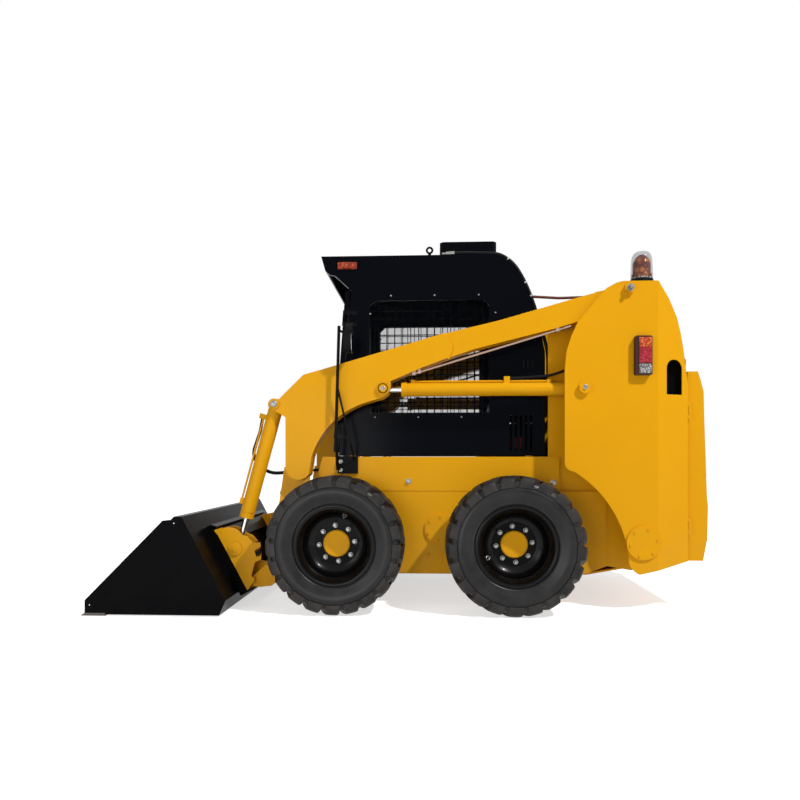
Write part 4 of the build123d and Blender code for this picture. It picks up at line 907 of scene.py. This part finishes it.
beacon_foot = at(-1.745, 0.540, 1.8698)
dome_smoke = clear_glass("dome_smoke", (0.06, 0.055, 0.09, 1), 0.34, 0.5)
core_amber = lens_plastic("core_amber", (0.20, 0.040, 0.006, 1), (0.80, 0.26, 0.03, 1), 30)
finish_with(core_amber, "beacon")
upward = (0, 0, 1)
beacon_base = [(0, 0), (0, 0.064), (0.018, 0.066), (0.026, 0.063), (0.026, 0)]
beacon_band = [(0.026, 0), (0.026, 0.060), (0.034, 0.060), (0.034, 0)]
dome_angle = np.linspace(0, np.pi / 2, 9)
dome = [(0.034, 0.0), (0.034, 0.062), (0.050, 0.0625), (0.128, 0.0585)]
dome += [(0.128 + 0.056 * math.sin(a), 0.030 + 0.0285 * math.cos(a)) for a in dome_angle[1:]] + [(0.184, 0.0)]
core = [(0.034, 0), (0.034, 0.057), (0.056, 0.056), (0.060, 0.050)]
core += [(0.120, 0.050), (0.150, 0.036), (0.168, 0.014), (0.169, 0)]
for name, profile, plastic, slot in (
    ("beacon_base", beacon_base, black_plastic, "black_plastic"),
    ("beacon_band", beacon_band, lamp_clear, "lamp_plastic"),
    ("beacon_core", core, core_amber, "amber_plastic"),
    ("beacon_dome", dome, dome_smoke, "amber_plastic"),
):
    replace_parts(mesh_piece(name, lathe(profile, beacon_foot, upward, 40), plastic, "chassis"), "beacon")

# ---------------------------------------------------------------- mirrors
# Rear-view mirrors on bent black poles, bolted to the cab's front corners.
mirror_glass = bright_steel("mirror_glass", (0.60, 0.64, 0.68, 1), 0.05, 4, 0.0)
finish_with(black_plastic, "mirrors")
turn = np.linspace(0, 2 * np.pi, 32, endpoint=False)
for side, out in sides:
    oval = np.stack([0.050 * np.cos(turn), 0.084 * np.sin(turn)], 1)
    mesh_piece(
        f"mirror_glass_{side}",
        slab(oval, 0.0015, 0.0008, at(-0.0848, out * 0.662, 1.5505), (0, -1, 0), (0, 0, 1)),
        mirror_glass,
        "chassis",
    )
    mesh_piece(
        f"mirror_bolts_{side}",
        joined(*(bolt(at(0.002, out * 0.489, z), (0, out, 0), 0.015, 0.014, 0.023) for z in (0.849, 0.799))),
        zinc_steel,
        "chassis",
    )

# ---------------------------------------------------------------- arms and cylinders
# The lift rods' pins are locked by bolts on painted caps, the tilt cylinders' by zinc ones. A weld
# bead runs round the deeper box's rear end. Hoses are black rubber, pipes plated.
cap_profile = [(0, 0), (0, 0.036), (0.003, 0.035), (0.003, 0.024), (0.007, 0.023), (0.007, 0)]
stud_profile = [(0, 0), (0, 0.020), (0.010, 0.019), (0.015, 0.011), (0.016, 0)]
lift_eye_pin, tilt_top_pin = (-0.257, 1.2715), (0.376, 1.1845)
bead_points = [at(x, 0.5905, z) for x, z in ((-0.632, 1.440), (-0.653, 1.5145), (-0.600, 1.5885))]
bead_path = smooth_path(bead_points, 60)
for side, out in sides:
    axis = (0, out, 0)
    path = bead_path * (1, out, 1)
    ripples = 0.0085 + 0.0010 * np.sin(np.arange(len(path)) * 1.4)
    mesh_piece(
        f"arm_pin_cap_{side}",
        lathe(cap_profile, on_side(lift_eye_pin, out, 0.611), axis, 32),
        machine_yellow,
        "lift_arm",
    )
    mesh_piece(f"arm_weld_{side}", round_bar(path, ripples, 10), machine_yellow, "lift_arm")
    mesh_piece(
        f"arm_pin_bolts_{side}",
        joined(
            bolt(on_side(lift_eye_pin, out, 0.617), axis, 0.008, 0.009, 0.013),
            lathe(stud_profile, on_side(tilt_top_pin, out, 0.612), axis, 24),
        ),
        zinc_steel,
        "lift_arm",
    )
finish_with(hose_rubber, "tilt_hoses", "lift_hoses")
finish_with(bright_steel("plated_pipe", (0.36, 0.25, 0.20, 1), 0.42, 120, 0.1), "arm_pipes")
finish_with(moulded_plastic("conduit_brown", (0.10, 0.022, 0.010, 1), 0.5, 300, 0.0004), "wiring_conduit")

# ---------------------------------------------------------------- tyres
# Lugged rubber tyres: two staggered rows of bent lugs on a rounded crown, a shoulder whose lug
# ends run down to a groove, and a wall that bulges to the bead at the rim.
tyre_radius = (tyre_high.z - tyre_low.z) / 2
tyre_half = (tyre_high.y - tyre_low.y) / 2
tread_radius = tyre_radius - 0.020
lug_count = 21


def tyre_profile():
    """Closed outline (across, radius): crown, shoulder, groove, bulged wall, bead, and round again."""
    wall = np.array(
        [
            (0.000, 0.0000), (0.450, 0.0005), (0.700, 0.0030), (0.820, 0.0100), (0.895, 0.0220),
            (0.930, 0.0330), (0.945, 0.0385), (0.915, 0.0405), (0.915, 0.0425), (0.955, 0.0455),
            (0.985, 0.0540), (1.000, 0.0660), (0.995, 0.0780), (0.965, 0.0920), (0.925, 0.1060),
            (0.885, 0.1180), (0.862, 0.1270), (0.868, 0.1295),
            (0.855, 0.1325), (0.830, 0.1355), (0.800, 0.1375),
        ]
    )
    outer = np.stack([wall[:, 0] * tyre_half, tread_radius - wall[:, 1]], 1)
    outer = np.concatenate([outer, [(0.098, 0.2275), (0.0965, 0.2095)]])
    return np.concatenate([outer, outer[:0:-1] * (-1, 1)])


def tread_lug():
    """One lug as (angle, across, radius): a section of base, sides and top carried across the tread."""
    across = np.array([-0.10, 0.10, 0.34, 0.58, 0.76, 0.87, 0.93, 0.965, 0.975]) * tyre_half
    middle = np.array([0.040, 0.036, 0.020, 0.000, -0.014, -0.022, -0.026, -0.028, -0.028])
    width = np.array([0.040, 0.046, 0.052, 0.060, 0.070, 0.078, 0.080, 0.080, 0.076])
    drop = np.array([0.000, 0.000, 0.000, 0.001, 0.004, 0.010, 0.018, 0.034, 0.045])
    base = np.array([0.000, 0.000, 0.0005, 0.002, 0.007, 0.018, 0.033, 0.0385, 0.0425])
    across = np.concatenate([across[:1] - 0.004, across, across[-1:]])
    middle, width, drop, base = (np.concatenate([v[:1], v, v[-1:]]) for v in (middle, width, drop, base))
    side_share = np.array([0.58, 0.55, 0.50, 0.44, 0.15, -0.15, -0.44, -0.50, -0.55, -0.58])
    height = np.array([-0.3, 0.0, 0.80, 1.0, 1.0, 1.0, 1.0, 0.80, 0.0, -0.3])
    low = tread_radius - base
    high = tyre_radius - drop
    high[[0, -1]] = low[[0, -1]]
    angle = (middle[:, None] + width[:, None] * side_share) / tyre_radius
    radius = low[:, None] + (high - low)[:, None] * np.maximum(height, 0) + 0.012 * np.minimum(height, 0)
    return angle, np.broadcast_to(across[:, None], angle.shape), radius


def tyre_lugs(centre):
    """Both staggered rows of lugs about an axle line."""
    angle, across, radius = tread_lug()
    faces = grid_faces(*angle.shape)
    surfaces = []
    pitch = 2 * np.pi / lug_count
    for row, stagger in ((1, 0.0), (-1, 0.5)):
        turned = angle + (pitch * (np.arange(lug_count) + stagger))[:, None, None]
        y = np.broadcast_to(row * across, turned.shape)
        points = np.stack([radius * np.cos(turned), y, radius * np.sin(turned)], -1)
        surfaces += [(np.asarray(centre) + lug.reshape(-1, 3), faces) for lug in points]
    return joined(*surfaces)


def tyre_rubber(name, dark, pale, dust, roughness):
    """Black rubber: cloudy tone between two greys, a fine grain and settled dust."""
    material, tree, shade = new_material(name, {"Specular IOR Level": 0.22})
    cloud = pattern(tree, "Noise", {"Scale": 14, "Detail": 8}).outputs["Fac"]
    grain = pattern(tree, "Noise", {"Scale": 420}).outputs["Fac"]
    settled = add_node(tree, "Group", {"Height": 0.9, "Amount": dust}, node_tree=ground_dust)
    dusty = add_node(tree, "Mix", {"B": (0.12, 0.095, 0.08, 1)}, data_type="RGBA")
    wire(
        tree,
        (colour_ramp(tree, cloud, (0.3, dark), (0.75, pale)), dusty.inputs["A"]),
        (settled.outputs["Mask"], dusty.inputs["Factor"]),
    )
    rough = ranged(tree, cloud, roughness * 0.8, roughness * 1.3)
    to_shader(tree, shade, dusty.outputs["Result"], rough, grain, 0.25, 0.0006)
    return material


# The carcass, which also floors the gaps between the lugs, is blacker than the lugs: painted shade in the
# gaps over the rubber's own black. The paler, dustier lugs are the rubber's tone and dust.
wall_rubber_painted_gap_shade = tyre_rubber("wall_rubber_painted_gap_shade", (0.0045, 0.0045, 0.005, 1), (0.013, 0.0125, 0.013, 1), 0.06, 0.34)
lug_rubber = tyre_rubber("lug_rubber", (0.006, 0.006, 0.006, 1), (0.024, 0.022, 0.021, 1), 0.28, 0.5)
wheels = [(end, side, out) for end in ("front", "rear") for side, out in sides]
wheel_centre = {(end, side): np.mean(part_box(f"tyre_{end}_{side}"), axis=0) for end, side, out in wheels}
for end, side, out in wheels:
    centre, body = wheel_centre[end, side], f"wheel_{end}_{side}"
    carcass = lathe(tyre_profile(), centre, (0, out, 0), 168, closed=True)
    for name, surface, rubber in (("carcass", carcass, wall_rubber_painted_gap_shade), ("lugs", tyre_lugs(centre), lug_rubber)):
        tyre = mesh_piece(f"tyre_{name}_{end}_{side}", surface, rubber, body, 28)
        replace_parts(tyre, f"tyre_{end}_{side}")
    finish_with(wall_rubber_painted_gap_shade, f"tyre_{end}_{side}")

# ---------------------------------------------------------------- rims, wheel nuts and valves
# Pressed steel rims in gloss black, held by eight zinc-plated nuts round the yellow hub. A valve
# stem comes through a ringed hole in each bowl.
rim_black = sprayed_paint(
    "rim_black", (0.0015, 0.0015, 0.002, 1), (0.01, 0.01, 0.01, 1), 0.20, 0.05, 0.0, dust=0.01, wear=0.1
)
bowl_black = sprayed_paint(
    "bowl_black", (0.0015, 0.0015, 0.002, 1), (0.01, 0.01, 0.01, 1), 0.27, 0.10, 0.08, dust=0.01, wear=0.1
)
nut_circle, rim_face = 0.1016, -0.024
# distance outwards from the tyre's middle plane and radius: lip, two steps and a curve to the disc,
# then back inside the metal
bowl_profile = [
    (0.1050, 0.2245), (0.1072, 0.2200), (0.1060, 0.2120),
    (0.1010, 0.2045), (0.0900, 0.1985), (0.0700, 0.1930),
    (0.0640, 0.1900), (0.0610, 0.1850), (0.0560, 0.1825),
    (0.0300, 0.1790), (0.0180, 0.1750), (0.0020, 0.1660),
    (-0.0060, 0.1560), (-0.0120, 0.1480), (-0.0190, 0.1360),
    (-0.0228, 0.1260), (-0.0250, 0.1260), (-0.0220, 0.1480),
    (-0.0120, 0.1660), (0.0160, 0.1880), (0.0600, 0.1960), (0.1000, 0.2050), (0.1035, 0.2235),
]
valve_ring = [(0, 0.009), (0, 0.014), (0.003, 0.014), (0.004, 0.012), (0.003, 0.009)]
valve_stem = [(-0.004, 0), (-0.004, 0.0045), (0.022, 0.0045), (0.024, 0.003), (0.024, 0)]
valve_offset = {"front": (-0.049, 0.161), "rear": (0.150, -0.075)}
finish_with(rim_black, *(f"rim_{end}_{side}" for end, side, out in wheels))
for end, side, out in wheels:
    axis, body = (0, out, 0), f"wheel_{end}_{side}"
    seat_at = wheel_centre[end, side] + np.array((0, out * rim_face, 0))
    mesh_piece(
        f"rim_bowl_{end}_{side}",
        lathe(bowl_profile, wheel_centre[end, side], axis, 96, closed=True),
        bowl_black,
        body,
    )
    mesh_piece(
        f"wheel_nuts_{end}_{side}",
        bolt_ring(seat_at, axis, nut_circle, 8, 0.0115, 0.018, math.radians(5.5), 0.0145),
        zinc_steel,
        body,
    )
    x, z = valve_offset[end]
    slope = np.array((-4.0 * x, out * 0.75, -4.0 * z))
    valve_at = wheel_centre[end, side] + np.array((x, out * 0.007, z))
    mesh_piece(
        f"valve_{end}_{side}",
        joined(
            lathe(valve_ring, valve_at, slope, 24, closed=True),
            lathe(valve_stem, valve_at, slope, 12),
        ),
        zinc_steel,
        body,
    )

# ---------------------------------------------------------------- carrier and bucket
# The carrier's outer plates are painted with the arms and its middle is black, as are the cab
# door's hinges. The bucket is black, worn paler at its plates' edges, and its cutting edge is bare.
bucket_black = sprayed_paint(
    "bucket_black", (0.0020, 0.0020, 0.0026, 1), (0.045, 0.042, 0.038, 1),
    0.28, 0.03, 0.0, 0.0008, dust=0.012, wear=0.7
)
finish_with(bucket_black, "bucket")
bucket_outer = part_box("bucket")[1].y


def black_where(name, paint, axis_name, limit, middle=False):
    """A copy of a paint, black where a coordinate is over the limit or, in the middle, within it."""
    material = paint.copy()
    material.name = name
    tree = material.node_tree
    split = add_node(tree, "SeparateXYZ")
    test = add_node(tree, "Math", {1: limit}, operation="LESS_THAN" if middle else "GREATER_THAN")
    mix = add_node(tree, "Mix", {"B": (0.002, 0.002, 0.003, 1)}, data_type="RGBA")
    base = tree.nodes["Principled BSDF"].inputs["Base Color"]
    measured = split.outputs[axis_name]
    if middle:
        size = add_node(tree, "Math", operation="ABSOLUTE")
        wire(tree, (measured, size.inputs[0]))
        measured = size.outputs[0]
    wire(
        tree,
        (add_node(tree, "TexCoord").outputs["Object"], split.inputs[0]),
        (measured, test.inputs[0]),
        (test.outputs[0], mix.inputs["Factor"]),
        (base.links[0].from_socket, mix.inputs["A"]),
        (mix.outputs["Result"], base),
    )
    return material


plates_outside, hinges_ahead_of = 0.462, axle_x - 1.5
finish_with(black_where("carrier_paint", machine_yellow, "Y", plates_outside, middle=True), "carrier")
finish_with(black_where("hinge_paint", machine_yellow, "X", hinges_ahead_of), "door_hinges")
ear_cap = [(0, 0), (0, 0.040), (0.003, 0.039), (0.003, 0.026)]
ear_cap += [(0.008, 0.025), (0.008, 0.012), (0.014, 0.011), (0.014, 0)]
grip_outline = ((0.034, 0.022), (0.034, -0.006), (0.012, -0.024), (0.000, -0.002))
bush_profile = [(0, 0.0035), (0, 0.016), (0.004, 0.016), (0.004, 0.0035)]
for side, out in sides:
    axis = (0, out, 0)
    mesh_piece(
        f"tilt_eye_cap_{side}",
        lathe(ear_cap, at(0.606, out * 0.6015, 0.343), axis, 32),
        machine_yellow,
        "tool",
    )
    grip = [(out * x, z) for x, z in grip_outline]
    mesh_piece(
        f"lever_grip_{side}",
        slab(grip, 0.020, 0.002, at(0.486, out * 0.600, 0.324), (-1, 0, 0), (0, 0, 1)),
        black_plastic,
        "tool",
    )
    for name, x, z in (("low", 1.348, 0.060), ("high", 0.874, 0.512)):
        mesh_piece(
            f"bucket_bush_{name}_{side}",
            lathe(bush_profile, at(x, out * (bucket_outer - 0.003), z), axis, 24, closed=True),
            bucket_black,
            "tool",
        )
finish_with(bright_steel("worn_edge", (0.10, 0.09, 0.085, 1), 0.5, 60, 0.4), "cutting_edge")
